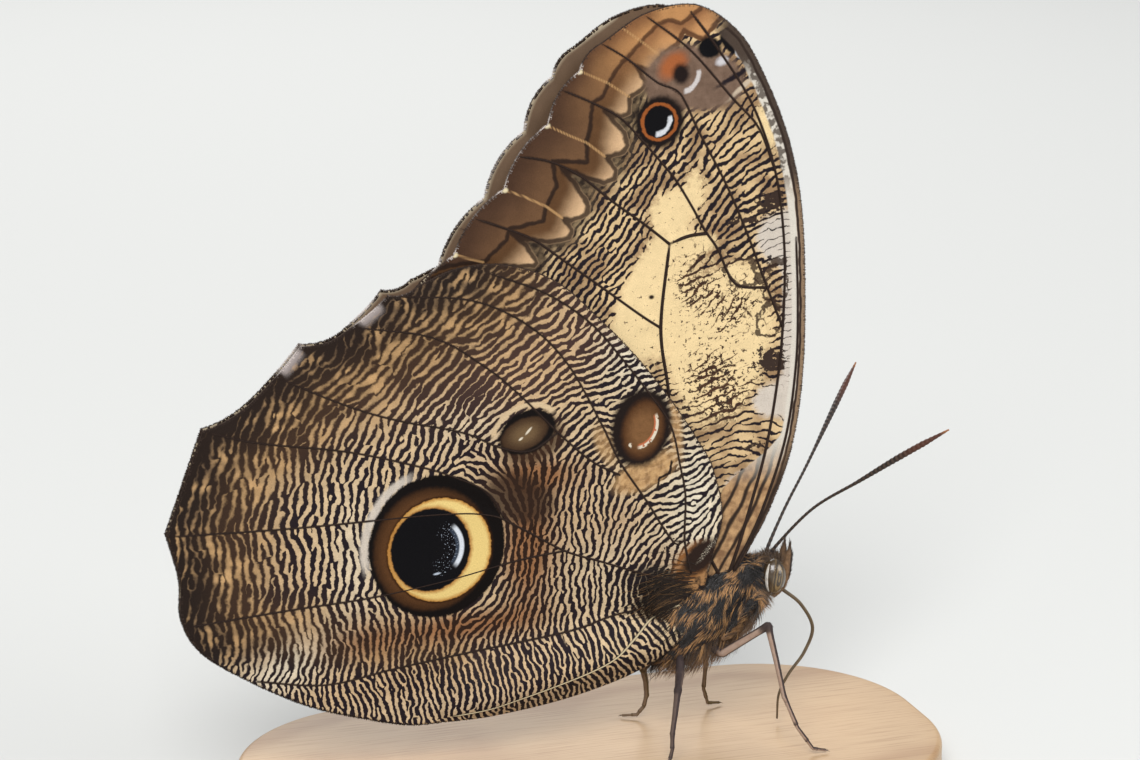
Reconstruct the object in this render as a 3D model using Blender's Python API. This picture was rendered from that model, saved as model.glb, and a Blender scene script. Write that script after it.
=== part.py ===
# Owl butterfly, wings closed over the back, standing on a small wooden base.
# The head points to +X, up is +Z, and +Y is the animal's left side.
# The origin is the middle of the base's underside. Sizes below are in millimetres.

import math

import bmesh
import bpy
import numpy as np
from mathutils import Matrix, Vector
from mathutils.geometry import delaunay_2d_cdt

MM = 0.001

# Driving dimensions
BASE_LENGTH = 88.0
BASE_WIDTH = 46.0
BASE_HEIGHT = 5.0
BASE_CORNER = 20.0
BASE_BEVEL = 0.8
GAP = 0.3
CUT_GROWTH = 0.315
FOOT_LEVEL = BASE_HEIGHT + GAP

MEMBRANE = 0.5
RIDGE_HALF_WIDTH = 0.45
RIDGE_OUTSIDE = 0.25
RIDGE_INSIDE = 0.10
VEIN_STEP = 4.5
MARGIN_STEP = 2.6
FILL_STEP = 5.5
FILL_CLEARANCE = 1.3
SHARP_BEND = 0.03

# Heights of the wing sheets over the animal's middle plane
FOREWING_OFFSET = 0.5
HINDWING_OFFSET = 1.65
HINDWING_EDGE_OFFSET = 0.55
ROOT_SPREAD = 1.9
ROOT_SPREAD_REACH = 13.0
ROOT_CENTRE = (19.0, 27.0)
TIP_SPREAD = 1.0
TIP_SPREAD_FROM = 62.0
TIP_SPREAD_OVER = 35.0
OVERLAP_ENDS = 12.0
OVERLAP_EASE = 9.5
ABDOMEN_CLEARANCE = 3.6
ABDOMEN_HOLLOW = 4.0
HOLLOW_FROM = -23.0
HOLLOW_EASE = 10.0
BLEND_SHARPNESS = 6
LEFT_FOREWING_TURN = 2.3

# Forewing outline and veins, (x, z) in the wing's sheet
FOREWING_COSTA = [
    (16.2, 23.6), (19.6, 29.3), (22.2, 33.5), (25.2, 40.0), (26.8, 47.4), (27.3, 57.0),
    (26.7, 70.1), (24.6, 80.1), (20.5, 89.5), (17.0, 94.4), (11.9, 97.3), (5.7, 96.5), (0.2, 93.2),
]
FOREWING_MARGIN = [
    (0.2, 93.2, 0.2), (-2.5, 90.0, 0.5), (-6.3, 83.9, 0.8), (-11.6, 76.5, 0.9),
    (-17.7, 68.9, 0.9), (-21.2, 66.0, 0.2),
]
FOREWING_INNER = [(-21.2, 66.0), (-13.5, 55.5), (-4.0, 43.5), (5.0, 32.8), (11.5, 25.6), (13.6, 23.0)]

FOREWING_VEINS = {
    "subcosta": [(17.4, 26.8), (21.4, 34.5), (24.6, 43.0), (25.9, 52.0), (26.0, 60.0), (25.6, 68.0)],
    "radius": [(16.8, 26.6), (19.4, 34.0), (22.0, 42.0), (23.6, 51.0), (24.2, 60.0), (24.0, 68.0),
               (22.6, 76.5), (19.5, 84.6), (15.0, 91.5), (11.4, 96.2)],
    "radius_fourth": [(22.6, 76.5), (20.3, 81.9), (16.9, 85.6), (11.4, 91.7), (5.8, 96.0)],
    "radius_fifth": [(24.0, 57.0), (21.3, 63.7), (19.4, 68.5), (16.5, 74.9), (12.6, 82.0),
                     (7.4, 88.0), (1.6, 92.6)],
    "media_first": [(21.8, 62.0), (17.8, 62.8), (13.9, 69.8), (8.0, 78.3), (2.6, 84.4), (-2.0, 89.3)],
    "media_second": [(13.9, 69.8), (9.3, 68.7), (8.6, 73.0), (2.8, 78.6), (-5.8, 83.4)],
    "media_third": [(9.3, 68.7), (5.4, 71.2), (0.3, 75.2), (-10.9, 76.2)],
    "cubitus": [(15.6, 26.4), (11.9, 34.0), (9.8, 43.0), (9.3, 50.2), (8.3, 58.0), (9.3, 68.7)],
    "cubitus_first": [(8.3, 58.0), (5.7, 59.8), (0.5, 63.8), (-5.0, 66.6), (-17.0, 68.6)],
    "cubitus_second": [(9.8, 43.0), (4.0, 50.0), (-5.0, 58.5), (-18.2, 66.9)],
    "anal": [(14.6, 26.0), (8.0, 32.6), (-2.0, 44.2), (-11.0, 55.4), (-18.6, 64.6)],
}

# Hindwing outline and veins
HINDWING_COSTA = [
    (13.6, 25.4), (14.6, 29.6), (15.9, 34.5), (14.8, 40.4), (13.0, 43.9), (9.8, 48.9), (5.3, 54.8),
    (0.4, 60.1), (-4.9, 65.0), (-11.1, 67.6), (-17.2, 67.7), (-22.3, 65.9),
]
HINDWING_MARGIN = [
    (-22.3, 65.9, 0.0), (-25.9, 65.0, -0.5), (-30.4, 61.1, -0.2), (-36.2, 59.5, -0.7),
    (-42.3, 53.1, -0.2), (-48.1, 50.2, -0.4), (-52.8, 37.7, 0.0),
]
HINDWING_LOWER = [
    (-52.8, 37.7), (-51.4, 32.0), (-51.3, 27.0), (-49.1, 22.7), (-43.6, 18.6), (-36.5, 14.6),
    (-29.8, 12.2), (-23.0, 10.5), (-15.5, 10.8), (-6.1, 11.5), (1.3, 13.1), (6.2, 15.2),
    (9.6, 18.2), (12.0, 21.5),
]
HINDWING_VEINS = {
    "subcosta": [(11.6, 27.4), (10.8, 31.6), (11.0, 37.0), (10.4, 40.9), (9.2, 46.1), (6.3, 50.5),
                 (2.9, 55.0), (-1.0, 59.6), (-6.5, 63.6), (-13.5, 66.6)],
    "radius": [(10.8, 31.6), (9.4, 31.5), (6.0, 37.0), (2.7, 42.1), (0.5, 46.8), (-3.8, 54.7),
               (-8.6, 59.8), (-15.5, 63.4), (-24.6, 64.6)],
    "media_first": [(2.7, 40.4), (-0.9, 42.5), (-5.1, 46.4), (-9.7, 51.3), (-13.9, 55.1),
                    (-20.4, 59.3), (-29.2, 61.0)],
    "media_second": [(-5.1, 46.4), (-8.6, 44.4), (-12.3, 45.1), (-16.6, 47.2), (-24.3, 49.2),
                     (-30.7, 51.6), (-38.6, 55.5)],
    "media_third": [(-11.6, 36.0), (-13.6, 39.4), (-17.8, 41.7), (-22.1, 43.4), (-30.8, 46.0),
                    (-41.4, 48.0), (-47.3, 49.8)],
    "cubitus": [(11.2, 26.2), (6.8, 27.3), (0.4, 29.6), (-4.0, 31.2), (-9.6, 34.6), (-13.4, 36.5),
                (-20.3, 37.2), (-36.7, 37.2), (-51.8, 37.6)],
    "cubitus_second": [(-4.0, 31.2), (-10.7, 30.3), (-18.7, 28.8), (-28.3, 27.6), (-38.1, 27.1),
                       (-50.3, 26.3)],
    "anal_first": [(11.0, 24.6), (7.2, 23.4), (2.9, 22.5), (-2.1, 21.1), (-8.4, 20.2), (-24.7, 18.4),
                   (-33.8, 17.2), (-42.4, 18.6)],
    "anal_second": [(10.2, 23.4), (7.2, 22.0), (4.0, 19.4), (0.4, 16.9), (-7.2, 14.4), (-18.4, 11.6)],
}

# Trunk: spine points (x, z) with half width and half height at each, and how its round ends bulge
END_BULGE = 0.6
END_ANGLES = (0.6, 1.15)
THORAX_SPINE = [(8.3, 18.3), (11.0, 19.7), (14.4, 21.8), (18.0, 23.9), (20.3, 25.1)]
THORAX_WIDTH = [2.6, 4.0, 4.7, 4.0, 2.2]
THORAX_HEIGHT = [3.5, 5.1, 5.6, 4.8, 2.8]
ABDOMEN_SPINE = [(6.6, 18.6), (1.0, 17.3), (-5.0, 16.0), (-11.0, 14.9), (-15.2, 14.3)]
ABDOMEN_WIDTH = [1.9, 2.5, 2.5, 1.9, 0.8]
ABDOMEN_HEIGHT = [2.2, 2.7, 2.7, 2.1, 0.9]
ABDOMEN_RINGS = 9
ABDOMEN_RING_DEPTH = 0.05
HEAD_SPINE = [(21.7, 25.1), (22.5, 25.4), (23.4, 25.6), (24.2, 25.6), (24.9, 25.4)]
HEAD_WIDTH = [1.2, 1.7, 1.8, 1.6, 0.9]
HEAD_HEIGHT = [1.6, 2.4, 2.7, 2.3, 1.3]
EYE_CENTRE = (23.1, 1.4, 25.3)
EYE_RADII = (1.6, 1.5, 2.3)

# Any direction that no tube starts along, from which its sections are turned
TUBE_REFERENCE = (0.3, 1.0, 0.2)

# Feelers, palps and tongue, right side first, points (x, y, z)
ANTENNA_RIGHT = [(23.2, -0.8, 28.5), (27.3, -3.6, 34.3), (31.6, -7.7, 38.6), (35.4, -11.3, 42.4),
                 (39.8, -15.4, 46.5)]
ANTENNA_LEFT = [(23.2, 0.8, 28.5), (26.1, 2.2, 33.1), (30.4, 6.1, 36.9), (37.0, 13.0, 42.3),
                (42.1, 18.5, 46.2)]
ANTENNA_RADII = [0.30, 0.27, 0.27, 0.30, 0.46, 0.42, 0.12]
PALP = [(23.6, 1.0, 21.9), (24.7, 1.0, 22.9), (25.4, 0.9, 25.0), (25.4, 0.9, 27.2), (25.0, 0.9, 29.2)]
PALP_RADII = [0.40, 0.52, 0.55, 0.48, 0.20]
TONGUE = [(24.7, 0.0, 22.3), (27.5, 0.0, 20.6), (29.1, 0.0, 17.4), (28.0, 0.0, 14.2), (26.0, 0.0, 11.6),
          (24.7, 0.0, 9.0), (24.5, 0.0, 5.7)]
TONGUE_RADII = [0.32, 0.30, 0.27, 0.26, 0.25, 0.25, 0.22]

# Legs: points from the hip to the foot, with the radius at each
MIDLEG_RIGHT = [(13.6, -1.8, 17.9), (15.6, -4.4, 17.3), (19.9, -8.0, 21.3), (20.8, -8.9, 16.6),
                (21.5, -9.6, 12.6), (23.0, -10.5, 8.6), (24.9, -11.0, 5.8), (26.5, -11.2, 5.45)]
MIDLEG_LEFT = [(13.6, 1.8, 17.9), (15.8, 4.3, 17.2), (18.0, 6.2, 18.2), (17.6, 6.6, 14.8),
               (17.4, 6.9, 11.4), (17.3, 7.3, 8.0), (18.1, 7.9, 5.75), (19.8, 8.3, 5.45)]
HINDLEG_RIGHT = [(10.8, -1.8, 16.9), (9.9, -4.0, 14.6), (9.0, -5.9, 13.4), (8.2, -7.2, 11.0),
                 (7.5, -8.2, 8.8), (7.2, -9.0, 7.0), (6.6, -9.6, 5.65), (5.0, -10.2, 5.45)]
HINDLEG_LEFT = [(10.2, 1.8, 16.9), (8.9, 3.6, 14.2), (8.2, 4.8, 12.6), (8.8, 5.4, 10.6),
                (9.1, 5.9, 8.6), (8.9, 6.4, 6.9), (8.2, 7.0, 5.65), (6.5, 7.8, 5.45)]
LEG_RADII = [0.60, 0.52, 0.48, 0.40, 0.36, 0.32, 0.28, 0.20]
FORELEG = [(15.4, 4.2, 18.8), (16.8, 5.1, 21.2), (18.5, 5.1, 23.5), (19.6, 4.8, 24.1), (20.1, 4.3, 22.9),
           (19.4, 4.4, 21.0), (18.3, 4.4, 19.4)]
FORELEG_RADII = [0.45, 0.42, 0.40, 0.38, 0.36, 0.32, 0.2]


def catmull(points, per_span):
    """A smooth curve through the points, with per_span pieces between each two."""
    p = np.array(points, float)
    p = np.vstack([2 * p[0] - p[1], p, 2 * p[-1] - p[-2]])
    rows = []
    for i in range(1, len(p) - 2):
        t = np.linspace(0, 1, per_span, endpoint=False)[:, None]
        a, b, c, d = p[i - 1], p[i], p[i + 1], p[i + 2]
        rows.append(0.5 * (2 * b + (c - a) * t + (2 * a - 5 * b + 4 * c - d) * t ** 2
                           + (3 * b - a - 3 * c + d) * t ** 3))
    rows.append(p[-2][None, :])
    return np.vstack(rows)


def even(curve, step):
    """The same curve with points at one even spacing near step."""
    length = np.concatenate([[0], np.cumsum(np.linalg.norm(np.diff(curve, axis=0), axis=1))])
    count = max(2, int(round(length[-1] / step)) + 1)
    at = np.linspace(0, length[-1], count)
    return np.stack([np.interp(at, length, curve[:, k]) for k in range(curve.shape[1])], axis=1)


def scallops(corners, step):
    """Arcs between corners; the third number bulges the arc that ends there out or in."""
    rows = []
    for (x0, z0, _), (x1, z1, bulge) in zip(corners, corners[1:]):
        chord = np.array([x1 - x0, z1 - z0])
        out = np.array([chord[1], -chord[0]]) / np.linalg.norm(chord)
        count = max(2, int(round(np.linalg.norm(chord) / step)))
        for t in np.arange(count) / count:
            rows.append(np.array([x0, z0]) + chord * t + out * bulge * 4 * t * (1 - t))
    return np.array(rows)


def smooth_step(t):
    t = np.clip(t, 0, 1)
    return t * t * (3 - 2 * t)


def forewing_height(x, z):
    """Distance of the forewing's sheet from the middle plane."""
    root = ROOT_SPREAD * np.exp(-((x - ROOT_CENTRE[0]) ** 2 + (z - ROOT_CENTRE[1]) ** 2)
                                / ROOT_SPREAD_REACH ** 2)
    tip = TIP_SPREAD * smooth_step((z - TIP_SPREAD_FROM) / TIP_SPREAD_OVER)
    return FOREWING_OFFSET + root + tip


def hindwing_height(x, z):
    """The hindwing lies over the forewing, nears the middle plane behind it and hollows round the abdomen."""
    start = np.array(FOREWING_INNER[0])
    along = np.array(FOREWING_INNER[-1]) - start
    along = along / np.linalg.norm(along)
    past = (x - start[0]) * -along[1] + (z - start[1]) * along[0]
    over = smooth_step((past + OVERLAP_ENDS) / OVERLAP_EASE)
    sheet = HINDWING_EDGE_OFFSET + (HINDWING_OFFSET - HINDWING_EDGE_OFFSET) * over
    sheet = sheet + forewing_height(x, z) - FOREWING_OFFSET
    (x0, z0), (x1, z1) = ABDOMEN_SPINE[0], ABDOMEN_SPINE[-1]
    axis = z0 + (x - x0) * (z1 - z0) / (x1 - x0)
    hollow = ABDOMEN_CLEARANCE * np.exp(-((z - axis) / ABDOMEN_HOLLOW) ** 2)
    hollow = hollow * smooth_step((x - HOLLOW_FROM) / HOLLOW_EASE)
    return (sheet ** BLEND_SHARPNESS + hollow ** BLEND_SHARPNESS) ** (1 / BLEND_SHARPNESS)


def segment_distance(points, lines):
    """Shortest distance from each point to a set of polylines."""
    best = np.full(len(points), 1e9)
    for line in lines:
        for a, b in zip(line[:-1], line[1:]):
            ab = b - a
            t = np.clip(((points - a) @ ab) / (ab @ ab), 0, 1)
            best = np.minimum(best, np.linalg.norm(points - (a + t[:, None] * ab), axis=1))
    return best


def inside(points, loop):
    """True for the points that lie inside a closed loop."""
    x, z = points[:, 0], points[:, 1]
    odd = np.zeros(len(points), bool)
    for (x0, z0), (x1, z1) in zip(loop, np.roll(loop, -1, axis=0)):
        if z0 == z1:
            continue
        cross = ((z0 > z) != (z1 > z)) & (x < (x1 - x0) * (z - z0) / (z1 - z0) + x0)
        odd ^= cross
    return odd


def lattice(outline, step):
    """Points of a hexagonal lattice over the outline's box."""
    low, high = outline.min(axis=0), outline.max(axis=0)
    rows = []
    for row, z in enumerate(np.arange(low[1], high[1], step * math.sqrt(3) / 2)):
        for x in np.arange(low[0] + (row % 2) * step / 2, high[0], step):
            rows.append((x, z))
    return np.array(rows)


def vein_lines(veins):
    """Each vein's middle line on the flat plan."""
    return [even(catmull(points, 6), VEIN_STEP) for points in veins.values()]


def ridge(points, lines):
    """How far up a vein's ridge each point lies, from 0 at its foot to 1 on its crest."""
    return np.clip(1 - segment_distance(points, lines) / RIDGE_HALF_WIDTH, 0, 1)


def sheet_triangles(outline, height, lines):
    """Triangles of the wing's flat plan, along the crest and both feet of every vein.

    Filler points lie between the veins, and closer where the sheet bends."""
    points = [tuple(p) for p in outline]
    edges = [(i, (i + 1) % len(points)) for i in range(len(points))]
    for line in lines:
        along = np.gradient(line, axis=0)
        along /= np.linalg.norm(along, axis=1)[:, None]
        across = np.stack([-along[:, 1], along[:, 0]], axis=1) * RIDGE_HALF_WIDTH
        for track in (line, line + across, line - across):
            start = len(points)
            points += [tuple(p) for p in track]
            edges += [(start + i, start + i + 1) for i in range(len(track) - 1)]
    wide, close = lattice(outline, FILL_STEP), lattice(outline, FILL_STEP / 2)
    x, z = close[:, 0], close[:, 1]
    bend = np.abs(height(x, z + 1) + height(x, z - 1) - 2 * height(x, z))
    filler = np.vstack([wide, close[bend > SHARP_BEND]])
    _, first = np.unique(np.round(filler, 3), axis=0, return_index=True)
    filler = filler[np.sort(first)]
    obstacles = lines + [np.vstack([outline, outline[:1]])]
    keep = inside(filler, outline) & (segment_distance(filler, obstacles) > FILL_CLEARANCE)
    points += [tuple(p) for p in filler[keep]]
    found = delaunay_2d_cdt([Vector(p) for p in points], edges, [], 1, 1e-5)
    return np.array([tuple(v) for v in found[0]]), [tuple(f) for f in found[2]]


def wing(name, outline, veins, height, side, turn, material):
    """A wing: one flat triangulation used on both faces of a thin curved sheet, with raised veins."""
    lines = vein_lines(veins)
    flat, triangles = sheet_triangles(outline, height, lines)
    raised = ridge(flat, lines)[:, None]
    x, z = flat[:, 0], flat[:, 1]
    small = 0.05
    slope_x = (height(x + small, z) - height(x - small, z)) / (2 * small)
    slope_z = (height(x, z + small) - height(x, z - small)) / (2 * small)
    normal = np.stack([-slope_x, np.ones_like(x), -slope_z], axis=1)
    normal /= np.linalg.norm(normal, axis=1)[:, None]
    middle = np.stack([x, height(x, z), z], axis=1)
    outer = middle + normal * (MEMBRANE / 2 + RIDGE_OUTSIDE * raised)
    inner = middle - normal * (MEMBRANE / 2 + RIDGE_INSIDE * raised)
    mesh = bmesh.new()
    top = [mesh.verts.new(p) for p in outer]
    bottom = [mesh.verts.new(p) for p in inner]
    border = {}
    for a, b, c in triangles:
        mesh.faces.new((top[a], top[b], top[c]))
        mesh.faces.new((bottom[c], bottom[b], bottom[a]))
        for edge in ((a, b), (b, c), (c, a)):
            border[edge] = True
    for a, b in border:
        if (b, a) not in border:
            mesh.faces.new((top[b], top[a], bottom[a]))
            mesh.faces.new((top[b], bottom[a], bottom[b]))
    place = Matrix.Translation((ROOT_CENTRE[0], 0, ROOT_CENTRE[1]))
    place = place @ Matrix.Rotation(math.radians(-turn), 4, "Y")
    place = place @ Matrix.Translation((-ROOT_CENTRE[0], 0, -ROOT_CENTRE[1]))
    bmesh.ops.transform(mesh, matrix=place, verts=mesh.verts)
    if side < 0:
        bmesh.ops.scale(mesh, vec=(1, -1, 1), verts=mesh.verts)
    return finish(name, mesh, material)


def finish(name, mesh, material):
    """Put a bmesh, given in millimetres, into the scene as a named object in metres."""
    bmesh.ops.scale(mesh, vec=(MM, MM, MM), verts=mesh.verts)
    bmesh.ops.recalc_face_normals(mesh, faces=mesh.faces)
    data = bpy.data.meshes.new(name)
    mesh.to_mesh(data)
    mesh.free()
    data.materials.append(material)
    data.shade_smooth()
    data.set_sharp_from_angle(angle=math.radians(40))
    thing = bpy.data.objects.new(name, data)
    bpy.context.scene.collection.objects.link(thing)
    return thing


def rings_to_mesh(rings, ends):
    """Join closed rings of points with triangles and close both ends to a point."""
    mesh = bmesh.new()
    rows = [[mesh.verts.new(p) for p in ring] for ring in rings]
    count = len(rows[0])
    for a, b in zip(rows, rows[1:]):
        for i in range(count):
            j = (i + 1) % count
            mesh.faces.new((a[i], a[j], b[j]))
            mesh.faces.new((a[i], b[j], b[i]))
    for row, tip in ((rows[0], ends[0]), (rows[-1], ends[1])):
        pole = mesh.verts.new(tip)
        for i in range(count):
            mesh.faces.new((row[i], row[(i + 1) % count], pole))
    return mesh


def spindle(spine, widths, heights, sides, spans, rings=0, depth=0.0):
    """A rounded body along a spine in the middle plane, with elliptical sections and rounded ends."""
    curve = catmull([(x, z, w, h) for (x, z), w, h in zip(spine, widths, heights)], spans)
    along = np.gradient(curve[:, :2], axis=0)
    along /= np.linalg.norm(along, axis=1)[:, None]
    first, last = curve[0], curve[-1]
    front = along[0] * first[3] * END_BULGE
    back = along[-1] * last[3] * END_BULGE
    start_cap = [(first[:2] - front * math.sin(a), math.cos(a)) for a in reversed(END_ANGLES)]
    end_cap = [(last[:2] + back * math.sin(a), math.cos(a)) for a in END_ANGLES]
    stations = [(p, along[0], first[2] * s, first[3] * s) for p, s in start_cap]
    for i, row in enumerate(curve):
        ring = 1.0 + depth * math.cos(2 * math.pi * rings * i / (len(curve) - 1)) if rings else 1.0
        stations.append((row[:2], along[i], row[2] * ring, row[3] * ring))
    stations += [(p, along[-1], last[2] * s, last[3] * s) for p, s in end_cap]
    angles = np.linspace(0, 2 * math.pi, sides, endpoint=False)
    loops = []
    for centre, tangent, width, height in stations:
        up = np.array([-tangent[1], tangent[0]])
        loops.append([(centre[0] + up[0] * math.sin(a) * height, math.cos(a) * width,
                       centre[1] + up[1] * math.sin(a) * height) for a in angles])
    start = first[:2] - front
    end = last[:2] + back
    return rings_to_mesh(loops, ((start[0], 0, start[1]), (end[0], 0, end[1])))


def tube(path, radii, sides, step):
    """A round tube along a smooth path, its radius running through the given values."""
    radii_at = np.interp(np.linspace(0, 1, len(path)), np.linspace(0, 1, len(radii)), radii)
    curve = even(catmull([(*p, r) for p, r in zip(path, radii_at)], 8), step)
    tangents = np.gradient(curve[:, :3], axis=0)
    tangents /= np.linalg.norm(tangents, axis=1)[:, None]
    side = np.cross(tangents[0], TUBE_REFERENCE)
    loops = []
    for row, tangent in zip(curve, tangents):
        side = side - tangent * (side @ tangent)
        side /= np.linalg.norm(side)
        other = np.cross(tangent, side)
        loops.append([row[:3] + row[3] * (math.cos(a) * side + math.sin(a) * other)
                      for a in np.linspace(0, 2 * math.pi, sides, endpoint=False)])
    start = curve[0, :3] - tangents[0] * curve[0, 3] * 0.5
    end = curve[-1, :3] + tangents[-1] * curve[-1, 3] * 0.5
    return rings_to_mesh(loops, (start, end))


def grown(mesh):
    """The same closed shape, with every point moved out by the gap that neighbours keep."""
    bmesh.ops.recalc_face_normals(mesh, faces=mesh.faces)
    mesh.normal_update()
    for vert in mesh.verts:
        vert.co += vert.normal * CUT_GROWTH
    return mesh


def ellipsoid(centre, radii):
    mesh = bmesh.new()
    bmesh.ops.create_uvsphere(mesh, u_segments=18, v_segments=12, radius=1.0)
    bmesh.ops.scale(mesh, vec=radii, verts=mesh.verts)
    bmesh.ops.translate(mesh, vec=centre, verts=mesh.verts)
    bmesh.ops.triangulate(mesh, faces=mesh.faces)
    return mesh


def largest_piece(data):
    """Keep the largest connected surface of a mesh and drop the loose scraps."""
    mesh = bmesh.new()
    mesh.from_mesh(data)
    left = set(mesh.verts)
    pieces = []
    while left:
        seed = left.pop()
        piece, stack = {seed}, [seed]
        while stack:
            for edge in stack.pop().link_edges:
                for vert in edge.verts:
                    if vert not in piece:
                        piece.add(vert)
                        stack.append(vert)
        left -= piece
        pieces.append(piece)
    best = max(pieces, key=lambda piece: sum(f.calc_area() for f in {f for v in piece for f in v.link_faces}))
    bmesh.ops.delete(mesh, geom=[v for v in mesh.verts if v not in best], context="VERTS")
    bmesh.ops.triangulate(mesh, faces=mesh.faces)
    mesh.to_mesh(data)
    mesh.free()


def cut_clear(thing, cutter_mesh):
    """Cut a piece clear of a neighbour whose grown shape is given, and keep the main part."""
    cutter = finish("cutter", cutter_mesh, thing.data.materials[0])
    modifier = thing.modifiers.new("clear", "BOOLEAN")
    modifier.operation = "DIFFERENCE"
    modifier.object = cutter
    depsgraph = bpy.context.evaluated_depsgraph_get()
    data = bpy.data.meshes.new_from_object(thing.evaluated_get(depsgraph))
    thing.modifiers.clear()
    thing.data = data
    data.name = thing.name
    largest_piece(data)
    bpy.data.objects.remove(cutter)


def material(name, colour, roughness, metallic=0.0):
    made = bpy.data.materials.new(name)
    made.use_nodes = True
    shader = made.node_tree.nodes["Principled BSDF"]
    shader.inputs["Base Color"].default_value = (*colour, 1.0)
    shader.inputs["Roughness"].default_value = roughness
    shader.inputs["Metallic"].default_value = metallic
    made.diffuse_color = (*colour, 1.0)
    return made


def thorax_shape():
    return spindle(THORAX_SPINE, THORAX_WIDTH, THORAX_HEIGHT, sides=22, spans=3)


def abdomen_shape():
    return spindle(ABDOMEN_SPINE, ABDOMEN_WIDTH, ABDOMEN_HEIGHT, sides=18, spans=7,
                   rings=ABDOMEN_RINGS, depth=ABDOMEN_RING_DEPTH)


def head_shape():
    return spindle(HEAD_SPINE, HEAD_WIDTH, HEAD_HEIGHT, sides=18, spans=2)


def eye_shape(side):
    return ellipsoid((EYE_CENTRE[0], side * EYE_CENTRE[1], EYE_CENTRE[2]), EYE_RADII)


def build_trunk():
    brown = material("brown_fur", (0.16, 0.10, 0.06), 0.9)
    tan = material("abdomen_fur", (0.30, 0.21, 0.13), 0.9)
    amber = material("striped_eye", (0.42, 0.27, 0.10), 0.25)
    finish("thorax", thorax_shape(), brown)
    abdomen = finish("abdomen", abdomen_shape(), tan)
    cut_clear(abdomen, grown(thorax_shape()))
    head = finish("head", head_shape(), brown)
    cut_clear(head, grown(thorax_shape()))
    for name, side in (("right", -1), ("left", 1)):
        eye = finish("eye_" + name, eye_shape(side), amber)
        cut_clear(eye, grown(head_shape()))
        cut_clear(eye, grown(thorax_shape()))


def build_mouth():
    fur = material("palp_fur", (0.24, 0.15, 0.08), 0.8)
    horn = material("tongue_horn", (0.20, 0.17, 0.09), 0.4)
    for name, side in (("right", -1), ("left", 1)):
        palp = finish("palp_" + name, tube([(x, side * y, z) for x, y, z in PALP], PALP_RADII, 8, 0.9), fur)
        cut_clear(palp, grown(head_shape()))
        cut_clear(palp, grown(eye_shape(side)))
    tongue = finish("proboscis", tube(TONGUE, TONGUE_RADII, 8, 1.2), horn)
    cut_clear(tongue, grown(head_shape()))


def build_antennae():
    horn = material("antenna_horn", (0.10, 0.06, 0.04), 0.5)
    for name, path in (("right", ANTENNA_RIGHT), ("left", ANTENNA_LEFT)):
        feeler = finish("antenna_" + name, tube(path, ANTENNA_RADII, 8, 1.7), horn)
        cut_clear(feeler, grown(head_shape()))


def flatten_feet(thing):
    """Slice a leg level at the height of the feet, which leaves a small flat."""
    mesh = bmesh.new()
    mesh.from_mesh(thing.data)
    geometry = mesh.verts[:] + mesh.edges[:] + mesh.faces[:]
    cut = bmesh.ops.bisect_plane(mesh, geom=geometry, plane_co=(0, 0, FOOT_LEVEL * MM),
                                 plane_no=(0, 0, 1), clear_inner=True)
    edges = [e for e in cut["geom_cut"] if isinstance(e, bmesh.types.BMEdge)]
    bmesh.ops.contextual_create(mesh, geom=edges)
    bmesh.ops.triangulate(mesh, faces=mesh.faces)
    bmesh.ops.recalc_face_normals(mesh, faces=mesh.faces)
    mesh.to_mesh(thing.data)
    mesh.free()


def build_legs():
    horn = material("leg_scales", (0.30, 0.22, 0.17), 0.6)
    walking = (("midleg_right", MIDLEG_RIGHT), ("midleg_left", MIDLEG_LEFT),
               ("hindleg_right", HINDLEG_RIGHT), ("hindleg_left", HINDLEG_LEFT))
    for name, path in walking:
        leg = finish(name, tube(path, LEG_RADII, 8, 1.1), horn)
        cut_clear(leg, grown(thorax_shape()))
        flatten_feet(leg)
    for name, side in (("right", -1), ("left", 1)):
        path = [(x, side * y, z) for x, y, z in FORELEG]
        leg = finish("foreleg_" + name, tube(path, FORELEG_RADII, 8, 0.9), horn)
        cut_clear(leg, grown(thorax_shape()))


def build_wings():
    fore = material("forewing_scales", (0.55, 0.40, 0.25), 0.6)
    hind = material("hindwing_scales", (0.32, 0.23, 0.14), 0.6)
    fore_outline = np.vstack([even(catmull(FOREWING_COSTA, 8), MARGIN_STEP)[:-1],
                              scallops(FOREWING_MARGIN, MARGIN_STEP),
                              even(catmull(FOREWING_INNER, 8), MARGIN_STEP)])
    hind_outline = np.vstack([even(catmull(HINDWING_COSTA, 8), MARGIN_STEP)[:-1],
                              scallops(HINDWING_MARGIN, MARGIN_STEP),
                              even(catmull(HINDWING_LOWER, 8), MARGIN_STEP)])
    for name, side, turn in (("right", -1, 0.0), ("left", 1, LEFT_FOREWING_TURN)):
        front = wing("forewing_" + name, fore_outline, FOREWING_VEINS, forewing_height, side, turn, fore)
        cut_clear(front, grown(thorax_shape()))
        back = wing("hindwing_" + name, hind_outline, HINDWING_VEINS, hindwing_height, side, 0.0, hind)
        cut_clear(back, grown(thorax_shape()))


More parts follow.
